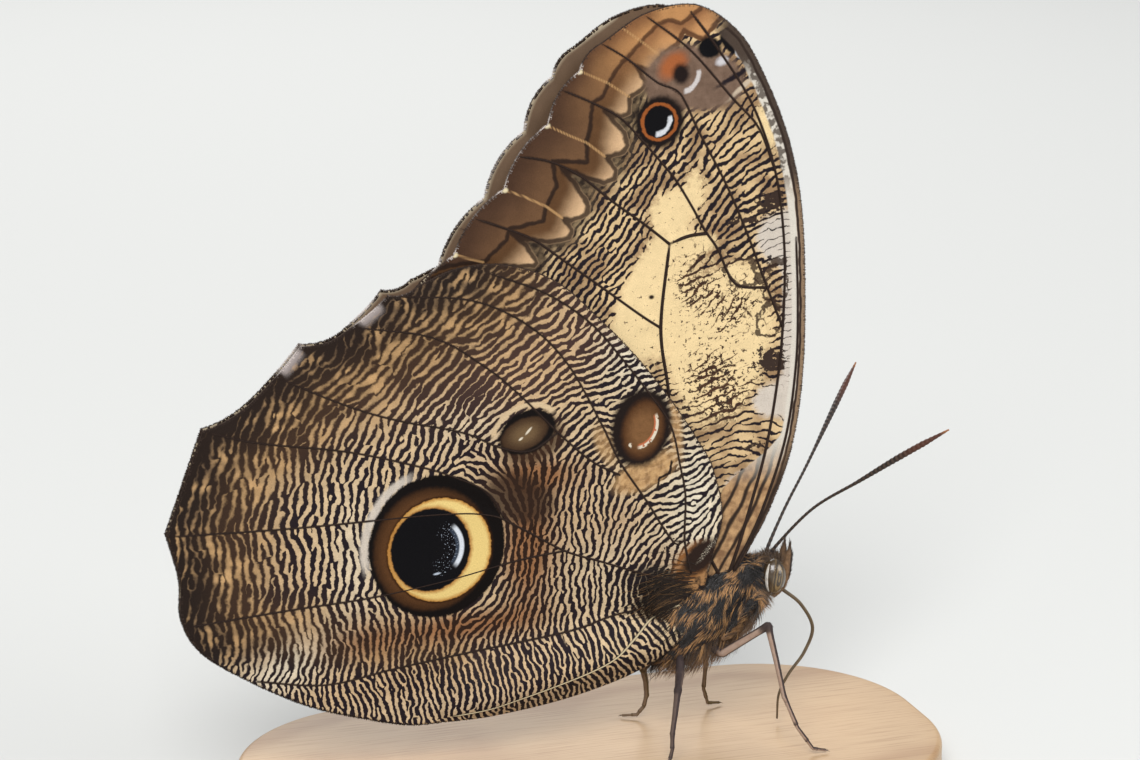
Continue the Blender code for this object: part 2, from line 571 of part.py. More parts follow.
def build_base():
    """A flat plate with round corners and a small bevel round its top edge."""
    wood = material("pale_wood", (0.62, 0.46, 0.30), 0.5)
    half_x = BASE_LENGTH / 2 - BASE_CORNER
    half_y = BASE_WIDTH / 2 - BASE_CORNER
    outline = []
    for quarter, (sx, sy) in enumerate(((1, 1), (-1, 1), (-1, -1), (1, -1))):
        for a in np.linspace(0, math.pi / 2, 9) + quarter * math.pi / 2:
            outline.append((sx * half_x + BASE_CORNER * math.cos(a), sy * half_y + BASE_CORNER * math.sin(a)))
    mesh = bmesh.new()
    bottom = mesh.faces.new([mesh.verts.new((x, y, 0)) for x, y in outline])
    raised = bmesh.ops.extrude_face_region(mesh, geom=[bottom])["geom"]
    bmesh.ops.translate(mesh, vec=(0, 0, BASE_HEIGHT),
                        verts=[v for v in raised if isinstance(v, bmesh.types.BMVert)])
    rim = [e for e in mesh.edges if all(v.co.z > BASE_HEIGHT / 2 for v in e.verts)]
    bmesh.ops.bevel(mesh, geom=rim, offset=BASE_BEVEL, segments=2, profile=0.5, affect="EDGES")
    bmesh.ops.triangulate(mesh, faces=mesh.faces)
    finish("stand_base", mesh, wood)


for old in list(bpy.data.objects):
    bpy.data.objects.remove(old)

build_base()
build_trunk()
build_mouth()
build_antennae()
build_legs()
build_wings()
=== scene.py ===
import math

import bpy
import numpy as np
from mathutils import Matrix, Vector


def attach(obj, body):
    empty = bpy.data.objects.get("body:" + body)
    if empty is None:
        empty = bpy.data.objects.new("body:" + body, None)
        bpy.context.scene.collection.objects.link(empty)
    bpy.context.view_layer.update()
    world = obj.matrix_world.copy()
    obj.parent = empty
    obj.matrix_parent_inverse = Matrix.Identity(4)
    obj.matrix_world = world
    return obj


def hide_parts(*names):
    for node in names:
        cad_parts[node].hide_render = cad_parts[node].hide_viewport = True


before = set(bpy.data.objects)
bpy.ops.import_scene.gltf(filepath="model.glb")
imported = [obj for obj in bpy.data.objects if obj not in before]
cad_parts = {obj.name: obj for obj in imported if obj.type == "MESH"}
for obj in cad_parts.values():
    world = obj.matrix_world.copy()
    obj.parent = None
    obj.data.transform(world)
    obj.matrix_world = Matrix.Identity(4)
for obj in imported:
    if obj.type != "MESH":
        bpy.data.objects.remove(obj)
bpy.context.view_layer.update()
mm = 0.001
rng = np.random.default_rng(7)
sides = (("right", -1), ("left", 1))  # a side's label and the sign of its y

# The owl butterfly rests with its wings closed. The head points to +X and its right side faces -Y.
# Lengths are in millimetres until a mesh is made.


# Curves and meshes

def smoothCurve(points, perSpan):
    # Catmull-Rom: each span is the cubic through its two ends, with slopes from the points beside them
    p = np.array(points, float)
    p = np.vstack([2 * p[0] - p[1], p, 2 * p[-1] - p[-2]])
    t = (np.arange(perSpan) / perSpan)[None, :, None]
    a, b, c, d = (p[i:len(p) - 3 + i, None, :] for i in range(4))
    rows = 0.5 * (2 * b + (c - a) * t + (2 * a - 5 * b + 4 * c - d) * t ** 2
                  + (3 * b - a - 3 * c + d) * t ** 3)
    return np.vstack([rows.reshape(-1, p.shape[1]), p[-2:-1]])


def spaced(curve, count, measured=None):
    # the same curve at count points, evenly spaced by arc length over its first measured columns
    width = measured or curve.shape[1]
    length = np.concatenate([[0], np.cumsum(np.linalg.norm(np.diff(curve[:, :width], axis=0), axis=1))])
    at = np.linspace(0, length[-1], count)
    return np.stack([np.interp(at, length, curve[:, k]) for k in range(curve.shape[1])], axis=1)


def curveLength(curve):
    # the sum of the straight pieces between its points
    return np.linalg.norm(np.diff(curve, axis=0), axis=1).sum()


def smoothStep(t):
    # three t squared less two t cubed, held at 0 and 1 outside
    t = np.clip(t, 0, 1)
    return t * t * (3 - 2 * t)


def hills(x, z, spots):
    # the sum of soft hills, each exp of minus the squared distance from its centre in turned, scaled axes
    total = np.zeros_like(x)
    for centre, radii, turn, amount in spots:
        c, s = math.cos(math.radians(turn)), math.sin(math.radians(turn))
        u = ((x - centre[0]) * c + (z - centre[1]) * s) / radii[0]
        v = (-(x - centre[0]) * s + (z - centre[1]) * c) / radii[1]
        total = total + amount * np.exp(-(u * u + v * v))
    return total


def unit(vectors):
    # each vector over its own length
    return vectors / np.maximum(np.linalg.norm(vectors, axis=-1, keepdims=True), 1e-9)


def facingOut(points, faces):
    # turn the faces round if the closed surface holds a negative volume
    volume = 0.0
    for f in faces:
        for k in range(1, f.shape[1] - 1):
            a, b, c = points[f[:, 0]], points[f[:, k]], points[f[:, k + 1]]
            volume += np.einsum("ij,ij->i", a, np.cross(b, c)).sum()
    return faces if volume > 0 else [f[:, ::-1] for f in faces]


def makePiece(name, points, faces, materials, faceMaterial=None):
    # points in millimetres as an (n, 3) array, faces as index arrays of 3 or 4 columns
    faces = facingOut(points, faces)
    mesh = bpy.data.meshes.new(name)
    flat = np.concatenate([f.ravel() for f in faces]).astype(np.int32)
    sizes = np.concatenate([np.full(len(f), f.shape[1]) for f in faces]).astype(np.int32)
    mesh.vertices.add(len(points))
    mesh.vertices.foreach_set("co", (points * mm).astype(np.float32).ravel())
    mesh.loops.add(len(flat))
    mesh.loops.foreach_set("vertex_index", flat)
    mesh.polygons.add(len(sizes))
    mesh.polygons.foreach_set("loop_start", np.concatenate([[0], np.cumsum(sizes)[:-1]]).astype(np.int32))
    mesh.polygons.foreach_set("loop_total", sizes)
    mesh.polygons.foreach_set("use_smooth", np.full(len(sizes), True))
    for material in materials:
        mesh.materials.append(material)
    if faceMaterial is not None:
        mesh.polygons.foreach_set("material_index", faceMaterial.astype(np.int32))
    mesh.update(calc_edges=True)
    mesh.validate()
    piece = bpy.data.objects.new(name, mesh)
    bpy.context.scene.collection.objects.link(piece)
    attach(piece, "root")
    return piece


def store(piece, name, values):
    # one number, or one triple, for each vertex of a piece
    kind = "FLOAT" if values.ndim == 1 else "FLOAT_VECTOR"
    attribute = piece.data.attributes.new(name, kind, "POINT")
    key = "value" if values.ndim == 1 else "vector"
    attribute.data.foreach_set(key, values.astype(np.float32).ravel())


def ringFaces(rows, count):
    # quads between neighbouring rings of count points that close on themselves
    i = np.arange(rows - 1)[:, None] * count
    j = np.arange(count)[None, :]
    k = (j + 1) % count
    return np.stack([i + j, i + k, i + count + k, i + count + j], axis=-1).reshape(-1, 4)


def fanFaces(ring, pole, flip):
    # triangles from a ring's points to one pole
    nextOne = np.roll(ring, -1)
    a, b = (nextOne, ring) if flip else (ring, nextOne)
    return np.stack([a, b, np.full(len(ring), pole)], axis=-1)


def closedFaces(rows, count):
    # the faces of a skin over rings, with its two poles stored after the last ring
    last = rows * count
    return [ringFaces(rows, count), fanFaces(np.arange(count), last, True),
            fanFaces(np.arange(last - count, last), last + 1, False)]


def sweepRings(path, radii, count, squash=1.0, reference=(0.3, 1.0, 0.2)):
    # ellipses carried along a path, as wide as radii and squashed along the second axis
    tangent = unit(np.gradient(path, axis=0))
    side = unit(np.cross(tangent, np.array(reference)))
    other = np.cross(tangent, side)
    angle = np.linspace(0, 2 * math.pi, count, endpoint=False)
    out = (np.cos(angle)[None, :, None] * side[:, None, :]
           + squash * np.sin(angle)[None, :, None] * other[:, None, :])
    return path[:, None, :] + np.asarray(radii)[:, None, None] * out


def tubeGroup(path, radii, count, squash=1.0, reference=(0.3, 1.0, 0.2)):
    # one closed tube: its points with both poles last, its faces, and its share of the way along
    rings = sweepRings(path, radii, count, squash, reference)
    points = np.vstack([rings.reshape(-1, 3), path[[0, -1]]])
    along = np.concatenate([np.repeat(np.linspace(0, 1, len(path)), count), [0, 1]])
    return points, closedFaces(len(path), count), along


def joinGroups(groups):
    # several groups of points and faces as one list of points, quads and triangles
    points, quads, fans, start = [], [], [], 0
    for group in groups:
        points.append(group[0])
        for f in facingOut(group[0], group[1]):
            (quads if f.shape[1] == 4 else fans).append(f + start)
        start += len(group[0])
    return np.vstack(points), [np.vstack(quads), np.vstack(fans)]


# Shader maths: an expression on sockets adds its nodes

def rgb(red, green, blue):
    # a colour given as it looks in the picture, from 0 to 255, made linear; the studio light lifts a surface
    # to 1.6 times its own colour, so the surface gets 0.62 of it
    value = np.array([red, green, blue]) / 255
    linear = np.where(value < 0.04045, value / 12.92, ((value + 0.055) / 1.055) ** 2.4)
    return (*(0.62 * linear).tolist(), 1.0)


class Flow:
    # one output socket of a material's nodes
    def __init__(self, tree, socket=None):
        self.tree = tree
        self.socket = socket

    def add(self, kind, settings=None, inputs=None, output=0):
        made = self.tree.nodes.new("ShaderNode" + kind)
        for key, value in (settings or {}).items():
            setattr(made, key, value)
        for key, value in (inputs or {}).items():
            if isinstance(value, Flow):
                self.tree.links.new(value.socket, made.inputs[key])
            else:
                made.inputs[key].default_value = value
        return Flow(self.tree, made.outputs[output])

    def math(self, operation, *values):
        return self.add("Math", {"operation": operation}, dict(enumerate((self,) + values)))

    def __add__(self, other):
        return self.math("ADD", other)

    __radd__ = __add__

    def __sub__(self, other):
        return self.math("SUBTRACT", other)

    def __rsub__(self, other):
        return self.math("MULTIPLY", -1).math("ADD", other)

    def __mul__(self, other):
        return self.math("MULTIPLY", other)

    __rmul__ = __mul__

    def __truediv__(self, other):
        return self.math("DIVIDE", other)

    def size(self):
        return self.math("ABSOLUTE")

    def sine(self):
        return self.math("SINE")

    def clamped(self):
        return self.math("MAXIMUM", 0.0).math("MINIMUM", 1.0)

    def orMore(self, other):
        return self.math("MAXIMUM", other)

    def step(self, low, high):
        # 0 at low, 1 at high and smooth between; low may be the larger one
        return self.add("MapRange", {"interpolation_type": "SMOOTHSTEP"}, {0: self, 1: low, 2: high})

    def band(self, centre, half, edge):
        # 1 within half of centre, fading to 0 over edge
        return (self - centre).size().step(half + edge, half)

    def mix(self, first, second):
        # this value blends from the first colour to the second
        return self.add("Mix", {"data_type": "RGBA"}, {0: self, 6: first, 7: second}, 2)

    def attribute(self, name, output=2):
        return self.add("Attribute", {"attribute_name": name}, {}, output)

    def placed(self, centre, radii=(1, 1), turn=0.0):
        # this vector measured from a centre, along turned axes, in units of the two radii
        places = {0: self, 1: (*centre, 0), 2: (0, 0, math.radians(turn)), 3: (*radii, 1)}
        return self.add("Mapping", {"vector_type": "TEXTURE"}, places)

    def length(self):
        return self.add("VectorMath", {"operation": "LENGTH"}, {0: self}, 1)

    def scaled(self, amount):
        # this vector or colour times one number
        return self.add("VectorMath", {"operation": "SCALE"}, {0: self, 3: amount})

    def moved(self, other, amount):
        # this vector pushed by another one, whose middle is a half
        shifted = self.add("VectorMath", {"operation": "SUBTRACT"}, {0: other, 1: (0.5, 0.5, 0.5)})
        return self.add("VectorMath", {"operation": "MULTIPLY_ADD"}, {0: shifted, 1: (amount,) * 3, 2: self})

    def noise(self, scale, detail=2.0, roughness=0.5, output=0):
        # output 0 is a number about a half, output 1 three of them, which can push a vector
        inputs = {0: self, "Scale": scale, "Detail": detail, "Roughness": roughness}
        return self.add("TexNoise", {}, inputs, output)

    def cellEdges(self, scale):
        # distance to the nearest border between scattered cells
        return self.add("TexVoronoi", {"feature": "DISTANCE_TO_EDGE"}, {0: self, "Scale": scale})

    def axis(self, index):
        return self.add("SeparateXYZ", {}, {0: self}, index)

    def vector(self, x, y, z=0.0):
        return self.add("CombineXYZ", {}, {0: x, 1: y, 2: z})

    def oval(self, centre, radii, turn=0.0):
        # distance from a centre in units of the radii, so 1 on the oval's edge
        return self.placed(centre, radii, turn).length()

    def disc(self, centre, radii, turn=0.0, soft=0.2):
        # 1 inside an oval, with an edge soft millimetres wide
        edge = soft / min(radii)
        return self.oval(centre, radii, turn).step(1 + edge / 2, 1 - edge / 2)

    def sector(self, centre, middle, half, soft=12.0):
        # 1 in the directions within half degrees of the middle one, seen from a centre
        seen = self.placed(centre, turn=middle)
        angle = seen.axis(1).math("ARCTAN2", seen.axis(0)).size()
        return angle.step(math.radians(half + soft), math.radians(half))


def newMaterial(name, sockets=None):
    # a Principled material; sockets holds the constants that go on the shader itself
    material = bpy.data.materials.new(name)
    material.use_nodes = True
    shader = material.node_tree.nodes["Principled BSDF"]
    for key, value in (sockets or {}).items():
        shader.inputs[key].default_value = value
    return material, shader, Flow(material.node_tree)


def feed(shader, socket, flow):
    flow.tree.links.new(flow.socket, shader.inputs[socket])


def feedBump(shader, height, strength, distance):
    inputs = {"Strength": strength, "Distance": distance * mm, "Height": height}
    feed(shader, "Normal", height.add("Bump", {}, inputs))


def inMillimetres(flow):
    # Object coordinates in millimetres, as every piece sits at the origin
    return flow.add("TexCoord", {}, {}, 3).scaled(1000.0)


# Wings: the sheet's coordinates are x along the body and z up, before a wing is turned

wingSheet = {
    "foreOffset": 0.5,
    "hindOffset": 1.65,
    "hindEdgeOffset": 0.55,
    "rootSpread": 1.9,
    "rootReach": 13.0,
    "rootCentre": (19.0, 27.0),
    "tipSpread": 1.0,
    "tipFrom": 62.0,
    "tipOver": 35.0,
    "overlapStart": (-21.2, 66.0),
    "overlapEnd": (13.6, 23.0),
    "overlapEnds": 12.0,
    "overlapEase": 9.5,
    "hollowHeight": 3.6,
    "hollowWidth": 4.0,
    "hollowFrom": -23.0,
    "hollowEase": 10.0,
    "abdomenFront": (6.6, 18.6),
    "abdomenTip": (-15.2, 14.3),
    "blend": 6,
    "thickness": 0.24,
    "rimThickness": 0.10,
    "inset": 0.32,
    "pleat": 0.16,
    "leftForeTurn": 2.3,
}

foreOutline = {
    "costa": [(16.2, 23.6), (19.6, 29.3), (22.2, 33.5), (25.2, 40.0), (26.8, 47.4), (27.3, 57.0),
              (26.7, 70.1), (24.6, 80.1), (20.5, 89.5), (17.0, 94.4), (11.9, 97.3), (5.7, 96.5), (0.2, 93.2)],
    "margin": [(0.2, 93.2, 0.2), (-2.5, 90.0, 0.5), (-6.3, 83.9, 0.8), (-11.6, 76.5, 0.9),
               (-17.7, 68.9, 0.9), (-21.2, 66.0, 0.2)],
    "inner": [(-21.2, 66.0), (-13.5, 55.5), (-4.0, 43.5), (5.0, 32.8), (11.5, 25.6), (13.6, 23.0)],
    "middle": (9.0, 62.0),
}
hindOutline = {
    "costa": [(13.6, 25.4), (14.6, 29.6), (15.9, 34.5), (14.8, 40.4), (13.0, 43.9), (9.8, 48.9), (5.3, 54.8),
              (0.4, 60.1), (-4.9, 65.0), (-11.1, 67.6), (-17.2, 67.7), (-22.3, 65.9)],
    "margin": [(-22.3, 65.9, 0.0), (-25.9, 65.0, -0.5), (-30.4, 61.1, -0.2), (-36.2, 59.5, -0.7),
               (-42.3, 53.1, -0.2), (-48.1, 50.2, -0.4), (-52.8, 37.7, 0.0)],
    "inner": [(-52.8, 37.7), (-51.4, 32.0), (-51.3, 27.0), (-49.1, 22.7), (-43.6, 18.6), (-36.5, 14.6),
              (-29.8, 12.2), (-23.0, 10.5), (-15.5, 10.8), (-6.1, 11.5), (1.3, 13.1), (6.2, 15.2),
              (9.6, 18.2), (12.0, 21.5)],
    "middle": (-14.0, 38.0),
}

# veins: points (x, z) from the root outwards, then the radius at the root and at the margin
foreVeins = {
    "subcosta": ([(17.4, 26.8), (21.4, 34.5), (24.6, 43.0), (25.9, 52.0), (26.0, 60.0),
                  (25.6, 68.0)], 0.34, 0.16),
    "radius": ([(16.8, 26.6), (19.4, 34.0), (22.0, 42.0), (23.6, 51.0), (24.2, 60.0), (24.0, 68.0),
                (22.6, 76.5), (19.5, 84.6), (15.0, 91.5), (11.4, 96.2)], 0.34, 0.14),
    "radiusFourth": ([(22.6, 76.5), (20.3, 81.9), (16.9, 85.6), (11.4, 91.7), (5.8, 96.0)], 0.16, 0.12),
    "radiusFifth": ([(24.0, 57.0), (21.3, 63.7), (19.4, 68.5), (16.5, 74.9), (12.6, 82.0),
                     (10.2, 86.6), (7.4, 88.0), (3.6, 91.0), (0.4, 93.0)], 0.20, 0.12),
    "mediaFirst": ([(21.8, 62.0), (17.8, 62.8), (15.5, 67.2), (13.7, 69.8), (12.3, 72.3), (10.0, 76.0),
                    (8.2, 78.2), (5.2, 81.6), (2.6, 84.2), (-1.0, 86.2), (-4.5, 87.8)], 0.24, 0.12),
    "mediaSecond": ([(13.9, 69.3), (11.6, 69.1), (9.3, 68.3)], 0.28, 0.30),
    "mediaThird": ([(9.3, 68.3), (6.0, 71.0), (2.0, 74.0), (-2.0, 77.3), (-5.8, 79.3),
                    (-9.9, 80.2)], 0.24, 0.12),
    "cubitus": ([(15.6, 26.4), (11.9, 34.0), (9.8, 43.0), (9.3, 50.2), (8.3, 58.0), (9.3, 68.3)], 0.30, 0.28),
    "cubitusFirst": ([(8.3, 58.0), (5.7, 59.8), (0.5, 63.8), (-4.0, 67.2), (-7.6, 69.9), (-11.0, 71.5),
                      (-14.9, 73.0)], 0.20, 0.12),
    "cubitusSecond": ([(9.8, 43.0), (4.0, 50.0), (-5.0, 58.5), (-18.2, 66.9)], 0.20, 0.12),
    "anal": ([(14.6, 26.0), (8.0, 32.6), (-2.0, 44.2), (-11.0, 55.4), (-18.6, 64.6)], 0.26, 0.15),
}
hindVeins = {
    "subcosta": ([(11.6, 27.4), (10.8, 31.6), (11.0, 37.0), (10.4, 40.9), (9.2, 46.1), (6.3, 50.5),
                  (2.9, 55.0), (-1.0, 59.6), (-6.5, 63.6), (-13.5, 66.6)], 0.20, 0.11),
    "radius": ([(10.8, 31.6), (9.4, 31.5), (6.0, 37.0), (2.7, 42.1), (0.5, 46.8), (-3.8, 54.7),
                (-8.6, 59.8), (-15.5, 63.4), (-24.6, 64.6)], 0.18, 0.11),
    "mediaFirst": ([(2.7, 40.4), (-0.9, 42.5), (-5.1, 46.4), (-9.7, 51.3), (-13.9, 55.1),
                    (-20.4, 59.3), (-29.2, 61.0)], 0.16, 0.11),
    "mediaSecond": ([(-5.1, 46.4), (-8.6, 44.4), (-12.3, 45.1), (-16.6, 47.2), (-24.3, 49.2),
                     (-30.7, 51.6), (-38.6, 55.5)], 0.14, 0.11),
    "mediaThird": ([(-11.6, 36.0), (-13.6, 39.4), (-17.8, 41.7), (-22.1, 43.4), (-30.8, 46.0),
                    (-41.4, 48.0), (-47.3, 49.8)], 0.14, 0.11),
    "cubitus": ([(11.2, 26.2), (6.8, 27.3), (0.4, 29.6), (-4.0, 31.2), (-9.6, 34.6), (-13.4, 36.5),
                 (-20.3, 37.2), (-36.7, 37.2), (-51.8, 37.6)], 0.20, 0.11),
    "cubitusSecond": ([(-4.0, 31.2), (-10.7, 30.3), (-18.7, 28.8), (-28.3, 27.6), (-38.1, 27.1),
                       (-50.3, 26.3)], 0.14, 0.11),
    "analFirst": ([(11.0, 24.6), (7.2, 23.4), (2.9, 22.5), (-2.1, 21.1), (-8.4, 20.2), (-24.7, 18.4),
                   (-33.8, 17.2), (-42.4, 18.6)], 0.18, 0.11),
    "analSecond": ([(10.2, 23.4), (7.2, 22.0), (4.0, 19.4), (0.4, 16.9), (-7.2, 14.4),
                    (-18.4, 11.6)], 0.20, 0.11),
}


def foreHeight(x, z):
    # offset plus a bell round the root plus a smooth rise towards the tip
    (cx, cz), reach = wingSheet["rootCentre"], wingSheet["rootReach"]
    root = wingSheet["rootSpread"] * np.exp(-((x - cx) ** 2 + (z - cz) ** 2) / reach ** 2)
    tip = wingSheet["tipSpread"] * smoothStep((z - wingSheet["tipFrom"]) / wingSheet["tipOver"])
    return wingSheet["foreOffset"] + root + tip


def hindHeight(x, z):
    # over the forewing it lies further out, behind it nearer the middle, and it hollows round the abdomen
    start = np.array(wingSheet["overlapStart"])
    along = unit(np.array(wingSheet["overlapEnd"]) - start)
    past = (x - start[0]) * -along[1] + (z - start[1]) * along[0]
    over = smoothStep((past + wingSheet["overlapEnds"]) / wingSheet["overlapEase"])
    low = wingSheet["hindEdgeOffset"]
    sheet = low + (wingSheet["hindOffset"] - low) * over + foreHeight(x, z) - wingSheet["foreOffset"]
    (x0, z0), (x1, z1) = wingSheet["abdomenFront"], wingSheet["abdomenTip"]
    axis = z0 + (x - x0) * (z1 - z0) / (x1 - x0)
    hollow = wingSheet["hollowHeight"] * np.exp(-((z - axis) / wingSheet["hollowWidth"]) ** 2)
    hollow = hollow * smoothStep((x - wingSheet["hollowFrom"]) / wingSheet["hollowEase"])
    power = wingSheet["blend"]
    return (sheet ** power + hollow ** power) ** (1 / power)


def sheetNormal(height, x, z):
    # the outward normal of a sheet y = height(x, z), from its slopes
    small = 0.05
    slopeX = (height(x + small, z) - height(x - small, z)) / (2 * small)
    slopeZ = (height(x, z + small) - height(x, z - small)) / (2 * small)
    return unit(np.stack([-slopeX, np.ones_like(x), -slopeZ], axis=-1))


def scallopCurve(corners, perArc):
    # parabolic arcs between corners; the third number is how far the arc that ends there bulges
    c = np.array(corners)
    start, chord, bulge = c[:-1, :2], np.diff(c[:, :2], axis=0), c[1:, 2]
    out = unit(np.stack([chord[:, 1], -chord[:, 0]], axis=1))
    t = (np.arange(perArc) / perArc)[None, :, None]
    arcs = start[:, None] + chord[:, None] * t + out[:, None] * bulge[:, None, None] * 4 * t * (1 - t)
    return arcs.reshape(-1, 2)


def outlineCurve(parts, count, inset=0.0):
    # the closed outline at even spacing, moved inwards by the inset, and the directions out of it
    curve = np.vstack([smoothCurve(parts["costa"], 12)[:-1], scallopCurve(parts["margin"], 24),
                       smoothCurve(parts["inner"], 12)])
    curve = spaced(np.vstack([curve, curve[:1]]), count + 1)[:-1]
    way = unit(np.roll(curve, -2, axis=0) - np.roll(curve, 2, axis=0))
    out = np.stack([way[:, 1], -way[:, 0]], axis=1)
    out = out * np.sign((out * (curve - np.array(parts["middle"]))).sum())
    return curve - out * inset, out


def lineDistance(points, line):
    # shortest distance to a polyline, the direction of its nearest piece and the side that a point lies on
    a, ab = line[:-1], np.diff(line, axis=0)
    away = points[:, None, :] - a[None]
    t = np.clip((away * ab).sum(-1) / (ab * ab).sum(-1), 0, 1)
    rest = away - t[..., None] * ab
    gap = np.linalg.norm(rest, axis=-1)
    nearest = gap.argmin(axis=1)
    row = np.arange(len(points))
    way = unit(ab)[nearest]
    side = np.sign(way[:, 0] * rest[row, nearest, 1] - way[:, 1] * rest[row, nearest, 0])
    return gap[row, nearest], way, side


def insideOf(points, corners):
    # even-odd rule: a level line from an inner point crosses the closed outline an odd number of times
    a, b = corners[None], np.roll(corners, -1, axis=0)[None]
    x, z = points[:, :1], points[:, 1:]
    crossed = (a[..., 1] > z) != (b[..., 1] > z)
    run = (b[..., 0] - a[..., 0]) / np.where(a[..., 1] == b[..., 1], 1.0, b[..., 1] - a[..., 1])
    return (crossed & (x < a[..., 0] + (z - a[..., 1]) * run)).sum(axis=1) % 2 == 1


def marginLine(parts, costaFrom, innerTo):
    # the margin with the last points of the costa and the first of the inner edge
    return np.vstack([smoothCurve(parts["costa"][costaFrom:], 6)[:-1], scallopCurve(parts["margin"], 8),
                      smoothCurve(parts["inner"][:innerTo], 6)])


def wingFields(x, z, wing):
    # gaps: distance to the nearest vein, to the line midway between two veins, and to the margin;
    # flow: the veins' direction around a point, which leans out on both sides of a vein by the chevron angle
    parts = wing["outline"]
    points = np.stack([x, z], axis=1).astype(np.float32)
    found = []
    for path, _, _ in wing["veins"].values():
        curve = smoothCurve(path, 6)
        found.append(lineDistance(points, spaced(curve, max(4, int(curveLength(curve) / 1.6)))))
    gaps, ways, sides = (np.array([f[k] for f in found]) for k in range(3))
    weight = 1 / (gaps ** 2 + 1.0)
    flow = unit((weight[..., None] * ways).sum(axis=0))
    ordered = np.sort(gaps, axis=0)
    vein, middle = ordered[0], (ordered[1] - ordered[0]) / 2
    across = middle / (middle + vein + 1e-6)
    side = sides[gaps.argmin(axis=0), np.arange(len(x))]
    turn = np.arctan2(flow[:, 1], flow[:, 0]) + side * across * np.radians(wing["chevron"])
    margin = lineDistance(points, marginLine(parts, *wing["reach"]))[0]
    costa = lineDistance(points, smoothCurve(parts["costa"], 6))[0]
    return np.stack([vein, middle, margin], axis=1), turn, across, costa


def placeWing(points, side, turn, centre=wingSheet["rootCentre"]):
    # turn in the wing's own plane about its root, then mirror to its side
    cx, cz = centre
    c, s = math.cos(math.radians(turn)), math.sin(math.radians(turn))
    x, y, z = points[..., 0] - cx, points[..., 1], points[..., 2] - cz
    return np.stack([cx + x * c - z * s, side * y, cz + x * s + z * c], axis=-1)


wingGrid = {"around": 560, "outerRows": 130, "innerRows": 12}


def veinSwell(across, vein):
    # the membrane is pleated: raised along the veins and sunk midway between them
    return wingSheet["pleat"] * (across ** 2 - 0.5) * smoothStep(vein / 3.0 + 0.3)


def wingSurface(wing):
    # a grid of spokes from the wing's middle to its outline: inner face, thin rim, outer face
    parts, height = wing["outline"], wing["height"]
    rim, _ = outlineCurve(parts, wingGrid["around"], wingSheet["inset"])
    middle = np.array(parts["middle"])
    inner = np.linspace(0, 1, wingGrid["innerRows"] + 1)[1:]
    outer = np.linspace(1, 0, wingGrid["outerRows"] + 1)[:-1]
    share = np.concatenate([inner, outer])
    flat = middle + (rim[None] - middle) * share[:, None, None]
    x, z = flat[..., 0].ravel(), flat[..., 1].ravel()
    gaps, turn, across, costa = wingFields(x, z, wing)
    face = np.repeat(np.concatenate([-np.ones(len(inner)), np.ones(len(outer))]), len(rim))
    edge = smoothStep((np.repeat(share, len(rim)) - 0.95) / 0.05)
    half = (wingSheet["thickness"] * (1 - edge) + wingSheet["rimThickness"] * edge) / 2
    swell = veinSwell(across, gaps[:, 0]) * (1 - edge)
    points = np.stack([x, height(x, z), z], axis=1)
    points = points + sheetNormal(height, x, z) * (face * half + swell)[:, None]
    centre = np.array([middle[0], height(*middle), middle[1]])
    poles = centre + np.array([[0, -0.5, 0], [0, 0.5, 0]]) * wingSheet["thickness"]
    return {"points": np.vstack([points, poles]), "x": x, "z": z, "gaps": gaps, "turn": turn, "costa": costa,
            "innerFaces": wingGrid["innerRows"] * len(rim), "rows": len(share), "count": len(rim)}


def buildWing(kind, label, surface, side, turn, materials, fields):
    # the surface's grid on its own side; the first faces, which look inwards, take the second material
    faces = closedFaces(surface["rows"], surface["count"])
    count = surface["count"]
    onInner = np.arange(len(faces[0])) < surface["innerFaces"] - count
    kinds = np.concatenate([onInner, np.ones(count), np.zeros(count)])
    points = placeWing(surface["points"], side, turn)
    piece = makePiece(kind + "_membrane_" + label, points, faces, materials, kinds)
    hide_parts(kind + "_" + label)
    for key, values in fields.items():
        store(piece, key, np.concatenate([values, values[:1], values[-1:]]))


def veinTubes(name, wing, side, turn, material):
    # tubes along the veins, half sunk in the outer face, tapering from root to margin
    height, groups, tone = wing["height"], [], []
    for key, (path, rootRadius, endRadius) in wing["veins"].items():
        curve = smoothCurve(path, 10)
        line = spaced(curve, int(curveLength(curve) / 0.45))
        x, z = line[:, 0], line[:, 1]
        share = np.linspace(0, 1, len(line))
        radii = (rootRadius + (endRadius - rootRadius) * share ** 0.6) * wing["slimness"]
        sink = wingSheet["thickness"] / 2 + wingSheet["pleat"] * 0.2 - radii * 0.45
        middle = np.stack([x, height(x, z), z], axis=1) + sheetNormal(height, x, z) * sink[:, None]
        radii = radii * smoothStep((1 - share) * len(line) / 4 + 0.2)
        group = tubeGroup(middle, radii, 8, reference=(0, 1, 0))
        groups.append((placeWing(group[0], side, turn), group[1]))
        tone.append(np.full(len(group[0]), 1.0 if key in wing["paleVeins"] else 0.0))
    points, faces = joinGroups(groups)
    piece = makePiece(name, points, faces, [material])
    store(piece, "pale", np.concatenate(tone))


def doubled(turn):
    # a direction without a sign, as the cosine and sine of twice its angle
    return np.stack([np.cos(2 * turn), np.sin(2 * turn), np.zeros_like(turn)], axis=1)


# Wing scales: markings drawn by formulas on the sheet's own coordinates

scaleSockets = {"Roughness": 0.6, "Specular IOR Level": 0.06}

tones = {
    "cream": rgb(220, 193, 154),
    "white": rgb(232, 220, 196),
    "olive": rgb(204, 164, 118),
    "rust": rgb(158, 112, 76),
    "black": rgb(36, 29, 34),
    "darkRust": rgb(50, 33, 24),
    "umber": rgb(44, 33, 28),
    "lavender": rgb(216, 204, 190),
    "glint": rgb(190, 200, 214),
    "ink": rgb(14, 13, 16),
}

